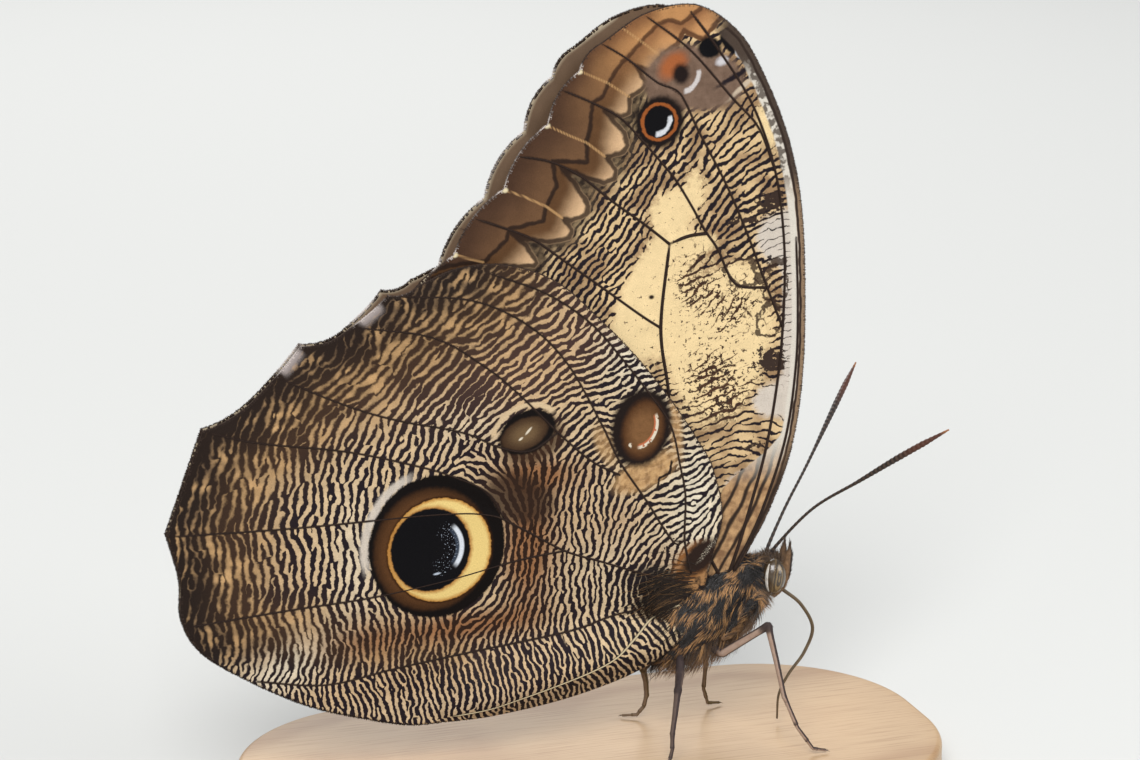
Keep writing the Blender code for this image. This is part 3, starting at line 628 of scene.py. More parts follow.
hindMarks = {
    "pupil": {"centre": (-20.75, 32.9), "radii": (4.9, 5.15)},
    "yellow": {"centre": (-19.6, 32.75), "radii": (6.45, 6.5)},
    "brown": {"centre": (-20.6, 32.9), "radii": (7.3, 7.8)},
    "ring": {"centre": (-19.95, 33.2), "radii": (8.45, 8.95)},
    "small": {"centre": (-9.2, 46.6), "radii": (2.9, 1.85), "turn": 20},
    "smallRing": {"centre": (-8.9, 46.8), "radii": (3.65, 2.65), "turn": 22},
    "big": {"centre": (5.7, 45.9), "radii": (2.6, 3.6), "turn": -11},
    "bigRing": {"centre": (5.45, 46.1), "radii": (3.85, 4.9), "turn": -10},
}

# hills (centre, radii, turn, amount) that shape the stripes of the hindwing
hindHills = {
    "pale": [((0, 31), (12, 7), 0, 0.13), ((12, 37), (4, 9), 0, 0.13), ((-31, 34), (3.5, 9), 0, 0.12),
             ((-5, 17), (26, 3.2), -6, -0.07), ((-39, 20), (6, 3.5), 30, 0.13),
             ((-15.5, 52.5), (3.2, 2.2), 40, -0.4), ((-21.5, 53.5), (1.6, 2.2), 0, -0.3),
             ((6.5, 26.5), (4, 2.6), -20, -0.42), ((-17, 63.5), (5, 2.5), 30, 0.1),
             ((-42, 49), (7, 1.5), -12, -0.3), ((-40, 28.5), (6, 1.4), 0, -0.22),
             ((-27.5, 50.5), (2.2, 3.6), 10, 0.22), ((-24.5, 57.5), (2.2, 4), 20, 0.16),
             ((-40.5, 43.9), (6, 1.0), -10, 0.3), ((-40, 31.5), (3, 3), 0, 0.18),
             ((-37, 24.5), (5, 2), -20, 0.16), ((-3, 48.5), (4, 3), 0, 0.05),
             ((-8.6, 33), (3, 8.5), 0, -0.14)],
    "olive": [((-8, 56), (17, 8), 30, 0.7), ((-30, 55), (12, 8), 0, 0.45), ((-44, 35), (9, 16), 0, 0.5),
              ((4, 52), (5, 4), 0, -0.35), ((-14, 14.5), (26, 4), -4, 0.6), ((-3, 36), (4, 5), 0, 0.4)],
    # how far the stripes turn to the left from square to the veins, in radians
    "lean": [((-16, 60), (15, 7), 30, -0.5), ((-2, 50), (7, 6), 0, -0.42), ((-31, 55), (8, 6), 0, -0.3),
             ((-0.5, 36), (5, 5), 0, 0.5), ((8, 36), (3, 3), 0, -0.35), ((13, 38), (2.5, 7), 0, 0.4)],
    "white": [((12.5, 37), (4, 9), 0, 0.95), ((5, 55), (6, 4), -50, 0.9), ((-39, 19.5), (7, 3), 25, 0.75),
              ((-30, 33), (2.5, 7), 0, 0.5), ((3, 30), (9, 6), 0, 0.2), ((-12, 13.5), (18, 2), 0, 0.3),
              ((-16, 48), (6, 3.5), 0, 0.35)],
    "rust": [((-17, 22.7), (9.5, 2.1), 2, 1.1), ((-29, 22), (5, 2.4), 0, 0.6),
             ((-8.6, 32), (3.6, 8.5), 0, 1.2), ((-7.5, 41.2), (6, 2.2), 0, 0.95),
             ((7.8, 29.6), (3.2, 2.2), 20, 0.35), ((2.5, 34.5), (4, 3), 30, 0.4)],
}
# hills that shape the forewing's cream ground, its dark flecks and blotches, and its other grounds
foreHills = {
    "cream": [((6, 61), (3.2, 9.5), -22, 1.3), ((9.5, 72.8), (3.6, 2.4), 10, 0.85),
              ((16, 57), (7.5, 8.5), 0, 1.25), ((12.5, 76.5), (1.8, 3.5), 20, 0.5),
              ((21.5, 82), (1.8, 5), 20, 0.75), ((18.8, 63.6), (2.2, 1.6), 0, 0.6),
              ((15, 50), (5, 7), 0, 0.5), ((12.6, 68), (3, 1.4), 10, 0.7), ((17.5, 80), (2.5, 3.5), 30, 0.3)],
    "flecks": [((16, 56), (6.5, 10), 0, 0.30), ((12.5, 63.5), (2.6, 3.6), 0, 0.62),
               ((17, 46.5), (6, 4.5), 0, 0.62), ((19, 41.5), (5, 3), 20, 0.85), ((14.5, 52), (3, 2), 0, 0.45),
               ((17.6, 66.5), (2.4, 1.8), 0, 0.35), ((18, 60), (3.5, 2.5), 0, 0.38)],
    "lavender": [((22.8, 68.2), (2.6, 3.2), 0, 1.1), ((22.6, 47.8), (2.6, 2.2), 10, 1.1),
                 ((18.6, 37.6), (2.6, 1.9), 30, 0.9), ((25, 58), (1.4, 14), 0, 0.9)],
    "blotch": [((22.6, 52.8), (2.5, 2.0), -20, 1.25), ((22.3, 72.8), (2.9, 1.9), 20, 1.1),
               ((18.2, 70.6), (2.4, 1.1), 0, 0.7), ((16.8, 52), (1.6, 1.1), 0, 0.65),
               ((17.5, 88.2), (2.2, 1.0), 25, 1.0), ((20.3, 42.3), (2.8, 1.3), 20, 0.7),
               ((16.5, 48.3), (1.5, 0.9), 0, 0.7), ((12, 47.6), (1.6, 0.8), 10, 0.6),
               ((19.5, 35.2), (2.6, 0.9), 35, 0.7)],
    "apex": [((9.5, 95.2), (9.5, 3.8), -10, 1.3), ((3, 92), (6, 3.5), 40, 0.5)],
    "grey": [((12.5, 88.3), (6.3, 4.0), -15, 1.4), ((8.2, 87.0), (2.2, 3), 0, 0.7)],
    "lean": [((12, 80), (9, 8), 0, 0.38)],
}

# the outer margin's tiles: the zigzag edge of each row from the apex down, and the pale folds across them
foreTiles = {
    "firstRow": [(12.6, 96.6), (10.2, 94.9), (8.8, 95.4), (7.3, 95.0), (5.3, 93.0), (3.6, 91.2), (2.9, 90.8),
                 (1.3, 88.3), (0.6, 86.8), (-0.7, 86.1), (-0.9, 83.0), (-1.3, 81.4), (-1.2, 79.0),
                 (-5.5, 79.3), (-5.0, 76.2), (-6.2, 73.9), (-6.6, 72.2), (-10.8, 71.5), (-11.1, 70.2),
                 (-13.7, 67.8), (-18.0, 67.6), (-24.0, 66.0)],
    "secondRow": [(15.2, 95.4), (13.0, 92.9), (10.6, 94.0), (9.6, 92.4), (7.8, 91.2), (6.9, 89.2),
                  (4.6, 90.2), (5.9, 88.3), (5.5, 87.3), (4.0, 86.5), (3.9, 84.6), (2.8, 84.2),
                  (0.8, 85.1), (3.3, 82.3), (3.8, 80.6), (3.3, 79.9), (1.2, 79.4), (2.4, 77.8),
                  (2.2, 76.7), (1.0, 76.3), (-1.0, 77.0), (-4.5, 78.6), (-2.6, 76.3), (-0.9, 73.6),
                  (-1.2, 72.6), (-3.0, 72.0), (-4.0, 72.2), (-3.0, 70.9), (-3.3, 69.8), (-6.0, 69.6),
                  (-9.0, 70.3), (-10.6, 71.2), (-8.6, 69.3), (-7.3, 67.2), (-7.7, 66.8), (-12.0, 67.0),
                  (-18.0, 66.8), (-24.0, 65.0)],
    "outside": [(-40.0, 60.0), (-30.0, 110.0), (30.0, 110.0)],
    "folds": [[(-17.5, 68.9), (-15.6, 68.2), (-13.9, 67.7)],
              [(-11.5, 76.3), (-9.0, 75.3), (-6.2, 73.9), (-4.2, 72.4)],
              [(-6.3, 83.7), (-3.5, 82.3), (-1.3, 81.3), (1.0, 79.5)],
              [(-2.5, 90.0), (1.2, 88.3), (3.9, 86.5)],
              [(2.5, 95.0), (5.3, 93.0), (7.7, 91.2)]],
    "dots": [(-17.4, 68.8), (-11.3, 76.2), (-6.2, 83.6), (-2.3, 89.8)],
}


def hindFields(surface):
    # the share of pale in the stripes, their wavelength and raggedness, and the tone of the scales
    x, z, rim = surface["x"], surface["z"], surface["gaps"][:, 2]
    outer = (1 - smoothStep((rim - 6) / 10)) * smoothStep((z - 19 + (x + 50) * 0.1) / 5)
    pale = 0.43 + hills(x, z, hindHills["pale"])
    border = 0.5 + 1.3 * smoothStep((-x - 22) / 10) * smoothStep((z - 20) / 5)
    pale = pale - 0.75 * (1 - smoothStep(rim / border)) - 0.12 * outer
    reach = np.hypot(x - 11, z - 25)
    wavelength = 0.84 + 0.20 * smoothStep((reach - 18) / 26) * smoothStep((z - 20) / 8)
    wavelength = wavelength - 0.08 * smoothStep((21 - z) / 5)
    turn = surface["turn"] + hills(x, z, hindHills["lean"])
    centre = hindMarks["ring"]["centre"]
    dx, dz = x - centre[0], z - centre[1]
    near = np.exp(-((np.hypot(dx, dz) - 9.5) / 4.0) ** 2) * smoothStep((dx + 1) / 7)
    pair = doubled(turn) * (1 - near)[:, None] + doubled(np.arctan2(dz, dx)) * near[:, None]
    tone = np.stack([hills(x, z, hindHills[key]) for key in ("olive", "white", "rust")], axis=1)
    return {"sheet": np.stack([x, z, 0 * x], axis=1), "grain": pair, "gaps": surface["gaps"],
            "tone": np.clip(tone, 0, 1), "bands": np.stack([pale, wavelength, outer], axis=1)}


def foreFields(surface):
    # the stripes' share and wavelength, the amount of each ground, and signed distances to the rows of tiles
    x, z = surface["x"], surface["z"]
    found = {key: np.clip(hills(x, z, spots), 0, 1.5) for key, spots in foreHills.items()}
    pale = 0.5 + 0.12 * smoothStep((x - 8) / 10) * smoothStep((z - 74) / 8)
    pale = pale + 0.2 * smoothStep((x - 10) / 3) * smoothStep((54 - z) / 8)
    places = np.stack([x, z], axis=1)
    tiles = []
    for key in ("firstRow", "secondRow"):
        edge = np.array(foreTiles[key])
        gap = lineDistance(places, edge)[0]
        tiles.append(np.where(insideOf(places, np.vstack([edge, foreTiles["outside"]])), -gap, gap))
    tiles.append(np.min([lineDistance(places, np.array(line))[0] for line in foreTiles["folds"]], axis=0))
    return {"sheet": np.stack([x, z, 0 * x], axis=1), "grain": doubled(surface["turn"] + found["lean"]),
            "gaps": surface["gaps"], "tiles": np.stack(tiles, axis=1),
            "bands": np.stack([pale, 0.82 + 0.14 * smoothStep((x - 6) / 8), surface["costa"]], axis=1),
            "zones": np.stack([found["cream"], found["flecks"], found["lavender"]], axis=1),
            "patches": np.stack([found["blotch"], found["apex"], found["grey"]], axis=1)}


stripePattern = {"wander": 0.8, "cell": 2.0, "order": 0.88, "raggedness": 0.3}


def stripes(sheet, grain, wavelength, share, soft):
    # Gabor noise gives bands of one wavelength that wander and fork; a share of each is pale
    warped = sheet.moved(sheet.noise(0.9, 2.0, 0.6, 1), stripePattern["wander"])
    angle = grain.axis(1).math("ARCTAN2", grain.axis(0)) * 0.5
    cell = stripePattern["cell"]
    frequency = wavelength.math("POWER", -1.0) * cell
    inputs = {0: warped, 1: 1 / cell, 2: frequency, 3: stripePattern["order"], 4: angle}
    phase = warped.add("TexGabor", {"gabor_type": "2D"}, inputs, 1)
    wave = (phase * 2 - 1).size() + (sheet.noise(5.0, 2.0) - 0.5) * stripePattern["raggedness"]
    return (wave - (1 - share)).step(0 - soft, soft)


def finishScales(shader, colour, sheet, speck, stripe, contrast):
    # single scales speckle the colour by the contrast, and the bump adds specks, stripes and soft waves
    feed(shader, "Base Color", colour.scaled(speck * contrast + (1 - contrast / 2)))
    feedBump(shader, speck * 0.6 + stripe * 0.25 + sheet.noise(0.5, 2.0) * 1.2, 0.35, 0.10)


def painted(colour, sheet, spots):
    # soft-edged ovals laid over the colour one after another: centre, radii, turn, softness, amount, tone
    for centre, radii, turn, soft, amount, tone in spots:
        colour = (sheet.disc(centre, radii, turn, soft) * amount).mix(colour, tone)
    return colour


def hindStripes(sheet, rim, grain, tone, bands):
    # stripes from the fields, with light clumps and dark patches in the outer part
    outer = bands.axis(2)
    clump = sheet.noise(0.32, 2.0, 0.55) - 0.5
    share = bands.axis(0) + clump * (outer * 1.7 + 0.25)
    stripe = stripes(sheet, grain, bands.axis(1), share, outer * 0.22 + 0.10)
    light = tone.axis(0).mix(tones["cream"], tones["olive"])
    light = (outer * 0.9).mix(light, rim.step(1.0, 8.0).mix(rgb(84, 63, 47), rgb(160, 126, 86)))
    light = (outer * (clump * 5 + 0.1).clamped()).mix(light, rgb(202, 162, 114))
    light = tone.axis(1).mix(light, tones["white"])
    light = tone.axis(2).mix(light, tones["rust"])
    dark = (tone.axis(0) * sheet.axis(1).step(42, 54) * 0.75).mix(tones["black"], rgb(98, 72, 60))
    dark = (outer * 0.9).mix(dark, rim.step(1.0, 9.0).mix(rgb(42, 32, 26), rgb(72, 52, 38)))
    dark = tone.axis(2).mix(dark, tones["darkRust"])
    light = light.scaled(sheet.noise(0.8, 2.0) * 0.7 + 0.62)
    return stripe, stripe.mix(dark, light)


def tanGround(colour, ragged, fuzzy):
    # tan ground under the big spot, with a dark squiggle
    tan = fuzzy.disc((6.1, 40.5), (4.3, 1.9), 24, 1.0)
    tan = tan.orMore(fuzzy.disc((9.9, 45.6), (0.7, 4.2), 4, 0.9) * 0.8)
    tan = tan.orMore(fuzzy.disc((0.8, 44.4), (1.0, 2.3), 22, 1.2) * 0.75)
    ground = ragged.noise(1.2, 3.0).step(0.3, 0.65).mix(rgb(160, 122, 82), rgb(212, 170, 118))
    colour = (tan * 0.92).mix(colour, ground)
    across = ragged.placed((8.4, 39.9), turn=52)
    squiggle = (across.axis(1) + (across.axis(0) * 2.4).sine() * 0.3).band(0.0, 0.10, 0.12)
    squiggle = squiggle * across.axis(0).band(0.0, 1.9, 0.3)
    return squiggle.mix(colour, tones["umber"])


def hindBase(colour, ragged, fuzzy, speck):
    # dark hollow at the wing's base with white specks and an orange rim
    root = ragged.noise(0.8, 3.0).step(0.42, 0.58).mix(rgb(38, 33, 33), rgb(172, 128, 84))
    colour = painted(colour, fuzzy, [
        ((12.2, 25.4), (3.0, 3.2), 0, 1.6, 1.0, root),
        ((7.6, 26.8), (3.2, 1.5), -18, 1.6, 0.85, rgb(38, 33, 33)),
        ((11.8, 28.9), (2.9, 1.9), 44, 1.0, 0.85, rgb(158, 106, 60)),
        ((12.8, 29.4), (2.7, 1.6), 44, 0.8, 1.0, rgb(46, 33, 27)),
    ])
    specks = ragged.disc((13.7, 30.2), (1.7, 0.25), 50, 0.3) * speck.step(0.55, 0.60)
    return specks.mix(colour, tones["white"])


def bigSpot(colour, sheet, ragged, fuzzy):
    # a brown oval in a black ring, lighter at its middle, with a broken white arc over an orange one
    bigRing = hindMarks["bigRing"]
    colour = fuzzy.disc(**bigRing, soft=0.9).mix(colour, rgb(34, 25, 22))
    inside = ragged.oval(**hindMarks["big"])
    core = inside.step(1.1, 0.30).mix(rgb(80, 50, 28), rgb(130, 92, 58))
    core = core.scaled(sheet.noise(1.6, 3.0) * 0.5 + 0.75)
    colour = inside.step(1.18, 0.86).mix(colour, core)
    centre = (4.95, 46.6)
    arc, along = sheet.oval(centre, (2.55, 3.0)), sheet.sector(centre, -32, 48)
    dash = sheet.noise(2.2, 1.0).step(0.36, 0.44)
    colour = (arc.band(0.93, 0.05, 0.06) * along).mix(colour, rgb(196, 112, 74))
    colour = (arc.band(1.0, 0.045, 0.05) * along * dash).mix(colour, tones["white"])
    return fuzzy.disc((4.1, 44.0), (0.16, 0.30), 0, 0.12).mix(colour, tones["white"])


def smallSpot(colour, sheet, ragged, fuzzy):
    # an olive-brown oval in a black ring, with brown ground below it, a cream halo above and two dashes
    colour = (ragged.disc((-8.0, 45.6), (3.9, 2.6), 22, 1.6) * 0.85).mix(colour, rgb(66, 44, 30))
    halo = ragged.oval((-9.1, 46.9), (4.1, 3.1), 22).band(1.0, 0.05, 0.07)
    colour = (halo * sheet.sector((-9, 46.8), 110, 70)).mix(colour, tones["cream"])
    colour = fuzzy.disc(**hindMarks["smallRing"], soft=0.4).mix(colour, rgb(20, 15, 14))
    inside = ragged.oval(**hindMarks["small"])
    core = inside.step(1.0, 0.2).mix(rgb(72, 52, 36), rgb(116, 92, 64))
    colour = inside.step(1.12, 0.92).mix(colour, core)
    dashes = sheet.disc((-8.75, 46.9), (0.55, 0.14), 48, 0.12)
    dashes = dashes.orMore(sheet.disc((-9.7, 46.0), (0.30, 0.13), 35, 0.12))
    return dashes.mix(colour, tones["white"])


def greatEyespot(colour, sheet, ragged, fuzzy, around):
    # a pale crescent outside and dark ground on its inner side, then the rings from the black one inwards
    colour = (fuzzy.disc((-9.9, 38.4), (4.7, 3.1), -26, 2.0) * 0.85).mix(colour, rgb(54, 37, 28))
    frost = around.band(1.065, 0.03, 0.06) * sheet.sector(hindMarks["ring"]["centre"], 152, 34, 16.0)
    colour = (frost * 0.92).mix(colour, tones["lavender"])
    colour = around.step(1.02, 0.985).mix(colour, rgb(18, 13, 12))
    inBrown = ragged.oval(**hindMarks["brown"])
    earth = inBrown.step(1.0, 0.80).mix(rgb(48, 30, 18), rgb(98, 64, 36))
    earth = (sheet.noise(2.5, 3.0) * 0.8).mix(earth, rgb(78, 50, 28))
    colour = inBrown.step(1.03, 0.94).mix(colour, earth)
    inYellow = ragged.oval(**hindMarks["yellow"])
    colour = inYellow.step(1.06, 1.0).mix(colour, rgb(52, 28, 12))
    glow = inYellow.step(1.0, 0.91).mix(rgb(196, 142, 70), rgb(240, 210, 134))
    colour = inYellow.step(1.01, 0.985).mix(colour, glow)
    inPupil = ragged.oval(**hindMarks["pupil"])
    colour = (inPupil.step(1.13, 1.0) * 0.85).mix(colour, rgb(178, 116, 50))
    colour = inPupil.step(1.03, 0.985).mix(colour, tones["ink"])
    centre = (-20.9, 33.0)
    crescent, edge = sheet.oval(centre, (4.05, 3.85)), sheet.sector(centre, 2, 30, 14.0)
    colour = (crescent.band(1.0, 0.04, 0.06) * edge).mix(colour, rgb(226, 232, 240))
    colour = (crescent.band(0.87, 0.03, 0.05) * edge * 0.35).mix(colour, rgb(96, 110, 130))
    dust = sheet.noise(5.5, 1.0, 0.5).step(0.66, 0.70) * crescent.band(0.72, 0.2, 0.1)
    colour = (dust * sheet.sector(centre, -8, 55, 20.0)).mix(colour, tones["glint"])
    return sheet.disc((-20.0, 29.8), (0.42, 0.13), 8, 0.12).mix(colour, tones["glint"])


def hindWingMaterial():
    # stripes, the spots over them, lines along the veins and frosted notches in the margin
    material, shader, flow = newMaterial("hindwing_scales", scaleSockets)
    sheet, grain = flow.attribute("sheet", 1), flow.attribute("grain", 1)
    gaps, tone, bands = flow.attribute("gaps", 1), flow.attribute("tone", 1), flow.attribute("bands", 1)
    vein, rim = gaps.axis(0), gaps.axis(2)
    speck = sheet.noise(7.0, 2.0, 0.7)
    ragged = sheet.moved(sheet.noise(1.4, 3.0, 0.6, 1), 0.45)
    fuzzy = ragged.moved(sheet.noise(6.0, 2.0, 0.6, 1), 0.35)
    around = fuzzy.oval(**hindMarks["ring"])
    stripe, colour = hindStripes(sheet, rim, grain, tone, bands)
    colour = tanGround(colour, ragged, fuzzy)
    colour = hindBase(colour, ragged, fuzzy, speck)
    colour = bigSpot(colour, sheet, ragged, fuzzy)
    colour = smallSpot(colour, sheet, ragged, fuzzy)
    colour = greatEyespot(colour, sheet, ragged, fuzzy, around)
    lines = vein.step(0.22, 0.10) * 0.75 * around.step(0.9, 1.1)
    colour = lines.mix(colour, tones["umber"])
    frosted = fuzzy.disc((-28.2, 62.9), (3.2, 1.6), -42, 0.9)
    frosted = frosted.orMore(fuzzy.disc((-37.2, 57.4), (2.9, 1.6), -52, 0.9))
    colour = (frosted * (rim + speck * 1.2).step(2.3, 1.0)).mix(colour, rgb(178, 166, 162))
    finishScales(shader, colour, sheet, speck, stripe, 0.8)
    return material


def foreStripes(sheet, grain, bands, zones, grainy):
    # zebra ground, smooth cream areas with flecks, and plain lavender ones
    cream = (zones.axis(0) + grainy * 0.7).step(0.35, 0.75)
    share = bands.axis(0) * (1 - cream) + cream * (1.35 - zones.axis(1) + (sheet.noise(0.9, 2.0) - 0.5) * 0.9)
    flat = (zones.axis(2) + grainy * 0.5).step(0.3, 0.7)
    stripe = stripes(sheet, grain, bands.axis(1), share + flat * 0.38, 0.10)
    zebra = sheet.noise(0.22, 2.0).step(0.38, 0.6).mix(rgb(164, 132, 96), rgb(226, 194, 146))
    light = cream.mix(zebra, rgb(246, 218, 166))
    light = flat.mix(light, tones["lavender"])
    light = light.scaled(sheet.noise(0.7, 2.0) * 0.25 + 0.88)
    dark = cream.mix(tones["black"], rgb(84, 58, 42))
    return stripe, stripe.mix(dark, light), cream


cellMarks = {
    "nets": [((12.6, 64.3), (2.9, 4.2), 0, 2.0), ((19.6, 61.0), (4.4, 4.8), 0, 2.4)],
    "loops": [((22.4, 57.6), (1.7, 2.0), 20), ((23.2, 62.4), (1.5, 2.9), 0), ((18.9, 63.8), (2.5, 1.7), -20)],
    "dot": ((7.1, 61.9), (0.32, 0.26), 0, 0.25),
}


def cellPattern(colour, sheet, ragged, zones, patches, grainy, cream):
    # a net of fine dark lines in two corners of the cell, and spots where the flecks are dense
    first, second = (sheet.disc(*net) for net in cellMarks["nets"])
    net = ragged.cellEdges(0.5) + (sheet.noise(1.2, 2.0) - 0.5) * 0.3
    colour = (net.step(0.03, -0.02) * first.orMore(second) * 0.85).mix(colour, rgb(78, 54, 40))
    spots = (sheet.noise(1.7, 3.0, 0.7) + zones.axis(1) * 0.20).step(0.64, 0.68)
    colour = (spots * cream).mix(colour, rgb(66, 46, 36))
    colour = (patches.axis(0) * 0.75 + grainy * 2.2).step(0.50, 0.62).mix(colour, rgb(62, 48, 41))
    # contour rings, bent out of round
    bent = sheet.moved(sheet.noise(0.45, 3.0, 0.6, 1), 3.4)
    for loop in cellMarks["loops"]:
        line = bent.oval(*loop).band(1.0, 0.09, 0.08) * sheet.noise(0.9).step(0.36, 0.46)
        colour = (line * 0.9).mix(colour, rgb(62, 46, 37))
    return sheet.disc(*cellMarks["dot"]).mix(colour, tones["umber"])


def tileRows(colour, sheet, ragged, tiles, vein, depth, apex, grainy):
    # two rows of tiles along the outer margin, parted at the veins and folded midway between them
    wobble = (sheet.noise(1.0, 2.0) - 0.5) * 0.5
    toFirst, toSecond, fold = tiles.axis(0) + wobble, tiles.axis(1) + wobble, tiles.axis(2)
    first = depth.step(0.3, 6.5).mix(rgb(76, 53, 39), rgb(116, 84, 58))
    first = apex.mix(first, depth.step(0.3, 4.0).mix(rgb(132, 90, 58), rgb(192, 140, 90)))
    second = toFirst.step(1.0, 4.4).mix(rgb(98, 68, 43), rgb(230, 190, 146))
    second = apex.mix(second, toFirst.step(0.2, 2.6).mix(rgb(150, 104, 68), rgb(208, 154, 102)))
    third = ragged.noise(1.0, 3.0).step(0.35, 0.65).mix(rgb(48, 38, 31), rgb(108, 90, 68))
    fade = (toSecond + grainy * 1.8).step(2.4, 0.6) * depth.step(13.0, 9.5) * (1 - apex)
    colour = fade.mix(colour, third)
    tile = toFirst.step(-0.05, 0.05).mix(first, second)
    tile = tile.scaled(sheet.noise(0.6, 3.0) * 0.4 + 0.8)
    outline = toFirst.size().step(0.42, 0.12).orMore(toSecond.size().step(0.50, 0.15))
    outline = outline.orMore(vein.step(0.30, 0.08) * depth.step(0.6, 1.6))
    tile = (outline * 0.9).mix(tile, apex.mix(rgb(42, 30, 25), rgb(88, 57, 38)))
    tile = (fold.step(0.24, 0.06) * 0.7).mix(tile, rgb(204, 160, 108))
    colour = toSecond.step(0.38, 0.22).mix(colour, tile)
    for centre in foreTiles["dots"]:
        colour = sheet.disc(centre, (0.36, 0.30), 0, 0.3).mix(colour, rgb(236, 220, 180))
    return colour


# spots near the apex: centre, radii, turn, softness, amount and tone, in the order they are laid
apexMarks = {
    "streaks": [((17.3, 88.4), (2.8, 0.35), 28, 0.3, 1.0, tones["black"]),
                ((18.4, 87.2), (2.4, 0.28), 40, 0.3, 1.0, rgb(206, 188, 164))],
    "orange": [((9.3, 90.0), (1.9, 1.3), 40, 1.2, 1.0, rgb(170, 98, 56)),
               ((10.3, 88.9), (1.05, 1.25), 0, 0.8, 1.0, rgb(34, 24, 22))],
    "front": [((13.8, 91.9), (1.5, 1.25), -10, 0.5, 1.0, tones["ink"]),
              ((15.4, 90.2), (0.75, 0.5), 20, 0.5, 1.0, rgb(214, 210, 212)),
              ((16.6, 92.4), (1.9, 1.05), -42, 0.4, 1.0, tones["ink"]),
              ((17.8, 90.9), (0.85, 0.5), -40, 0.3, 1.0, rgb(236, 236, 238))],
    # rings of the small eyespot: where each starts, where it is full, its tone
    "eyespot": [(3.6, 2.7, rgb(30, 22, 20)), (2.45, 2.25, rgb(158, 88, 42)), (2.05, 1.85, tones["ink"])],
}


def apexSpots(colour, sheet, ragged, patches, depth, grainy):
    # grey-brown ground, the small eyespot and the spots before it, two of them with a pale arc
    grey = (patches.axis(2) + grainy * 0.35).step(0.42, 0.72) * depth.step(4.2, 5.2)
    colour = grey.mix(colour, sheet.noise(0.9, 3.0).mix(rgb(92, 70, 56), rgb(146, 120, 102)))
    colour = painted(colour, ragged, apexMarks["streaks"])
    away = ragged.placed((7.7, 83.3)).length()
    for start, full, tone in apexMarks["eyespot"]:
        colour = away.step(start, full).mix(colour, tone)
    arc = ragged.oval((7.5, 83.6), (1.55, 1.75)).band(1.0, 0.10, 0.15)
    colour = (arc * sheet.sector((7.5, 83.6), -42, 48)).mix(colour, rgb(220, 222, 226))
    colour = painted(colour, ragged, apexMarks["orange"])
    arc = ragged.oval((10.6, 88.9), (1.9, 2.1)).band(1.0, 0.07, 0.14)
    colour = (arc * sheet.sector((10.6, 88.9), -38, 42)).mix(colour, rgb(214, 206, 202))
    return painted(colour, ragged, apexMarks["front"])


def costalEdge(colour, sheet, ragged, costa):
    # dark rim, tan strip, dark line and a pale strip; near the root streaks between the front veins
    strip = costa + (sheet.noise(0.5, 2.0) - 0.5) * 0.35
    high = sheet.axis(1).step(72, 77)
    edging = strip.step(0.12, 0.3).mix(rgb(58, 44, 36), high.mix(rgb(150, 124, 98), rgb(78, 65, 56)))
    edging = strip.band(0.92, 0.10, 0.12).mix(edging, rgb(56, 44, 38))
    broken = 1 - high * ragged.noise(1.1, 2.0).step(0.42, 0.56) * 0.85
    edging = (strip.step(1.05, 1.2) * sheet.axis(1).step(91, 87) * broken).mix(edging, rgb(226, 218, 204))
    base = sheet.axis(1).step(44, 37)
    streak = ((costa * 1.9 + ragged.noise(0.25, 3.0) * 2.0) * 2).sine().step(-1.0, -0.2)
    ground = ragged.noise(0.8, 3.0).step(0.3, 0.7).mix(rgb(140, 106, 76), rgb(202, 162, 116))
    streak = streak.mix(rgb(54, 42, 35), costa.step(0.6, 1.6).mix(rgb(92, 72, 58), ground))
    edging = base.mix(edging, streak)
    inFront = sheet.axis(0).step(13.0, 16.5).orMore(base)
    return ((strip - (base * 5.0 + 2.05)).step(0.15, -0.15) * inFront).mix(colour, edging)


def foreWingMaterial():
    # stripes and cream, the cell's pattern, the tiles, the apex, the costal edge and lines along the veins
    material, shader, flow = newMaterial("forewing_scales", scaleSockets)
    sheet, grain = flow.attribute("sheet", 1), flow.attribute("grain", 1)
    gaps, bands, tiles = flow.attribute("gaps", 1), flow.attribute("bands", 1), flow.attribute("tiles", 1)
    zones, patches = flow.attribute("zones", 1), flow.attribute("patches", 1)
    vein, rim, apex = gaps.axis(0), gaps.axis(2), patches.axis(1).clamped()
    speck = sheet.noise(7.0, 2.0, 0.7)
    ragged = sheet.moved(sheet.noise(1.3, 3.0, 0.6, 1), 0.5)
    grainy = (sheet.noise(1.1, 3.0, 0.65) - 0.5) * 1.1
    # depth from the margin, counted faster near the apex, where the tiles are shallow
    depth = rim * (sheet.axis(1).step(80, 93) * 0.42 + 1) + (sheet.noise(0.8, 2.0) - 0.5) * 0.8
    stripe, colour, cream = foreStripes(sheet, grain, bands, zones, grainy)
    colour = cellPattern(colour, sheet, ragged, zones, patches, grainy, cream)
    colour = tileRows(colour, sheet, ragged, tiles, vein, depth, apex, grainy)
    colour = apexSpots(colour, sheet, ragged, patches, depth, grainy)
    colour = costalEdge(colour, sheet, ragged, bands.axis(2))
    lines = vein.step(0.24, 0.10) * depth.step(4.0, 7.5) * 0.8
    finishScales(shader, lines.mix(colour, rgb(52, 36, 30)), sheet, speck, stripe, 0.7)
    return material


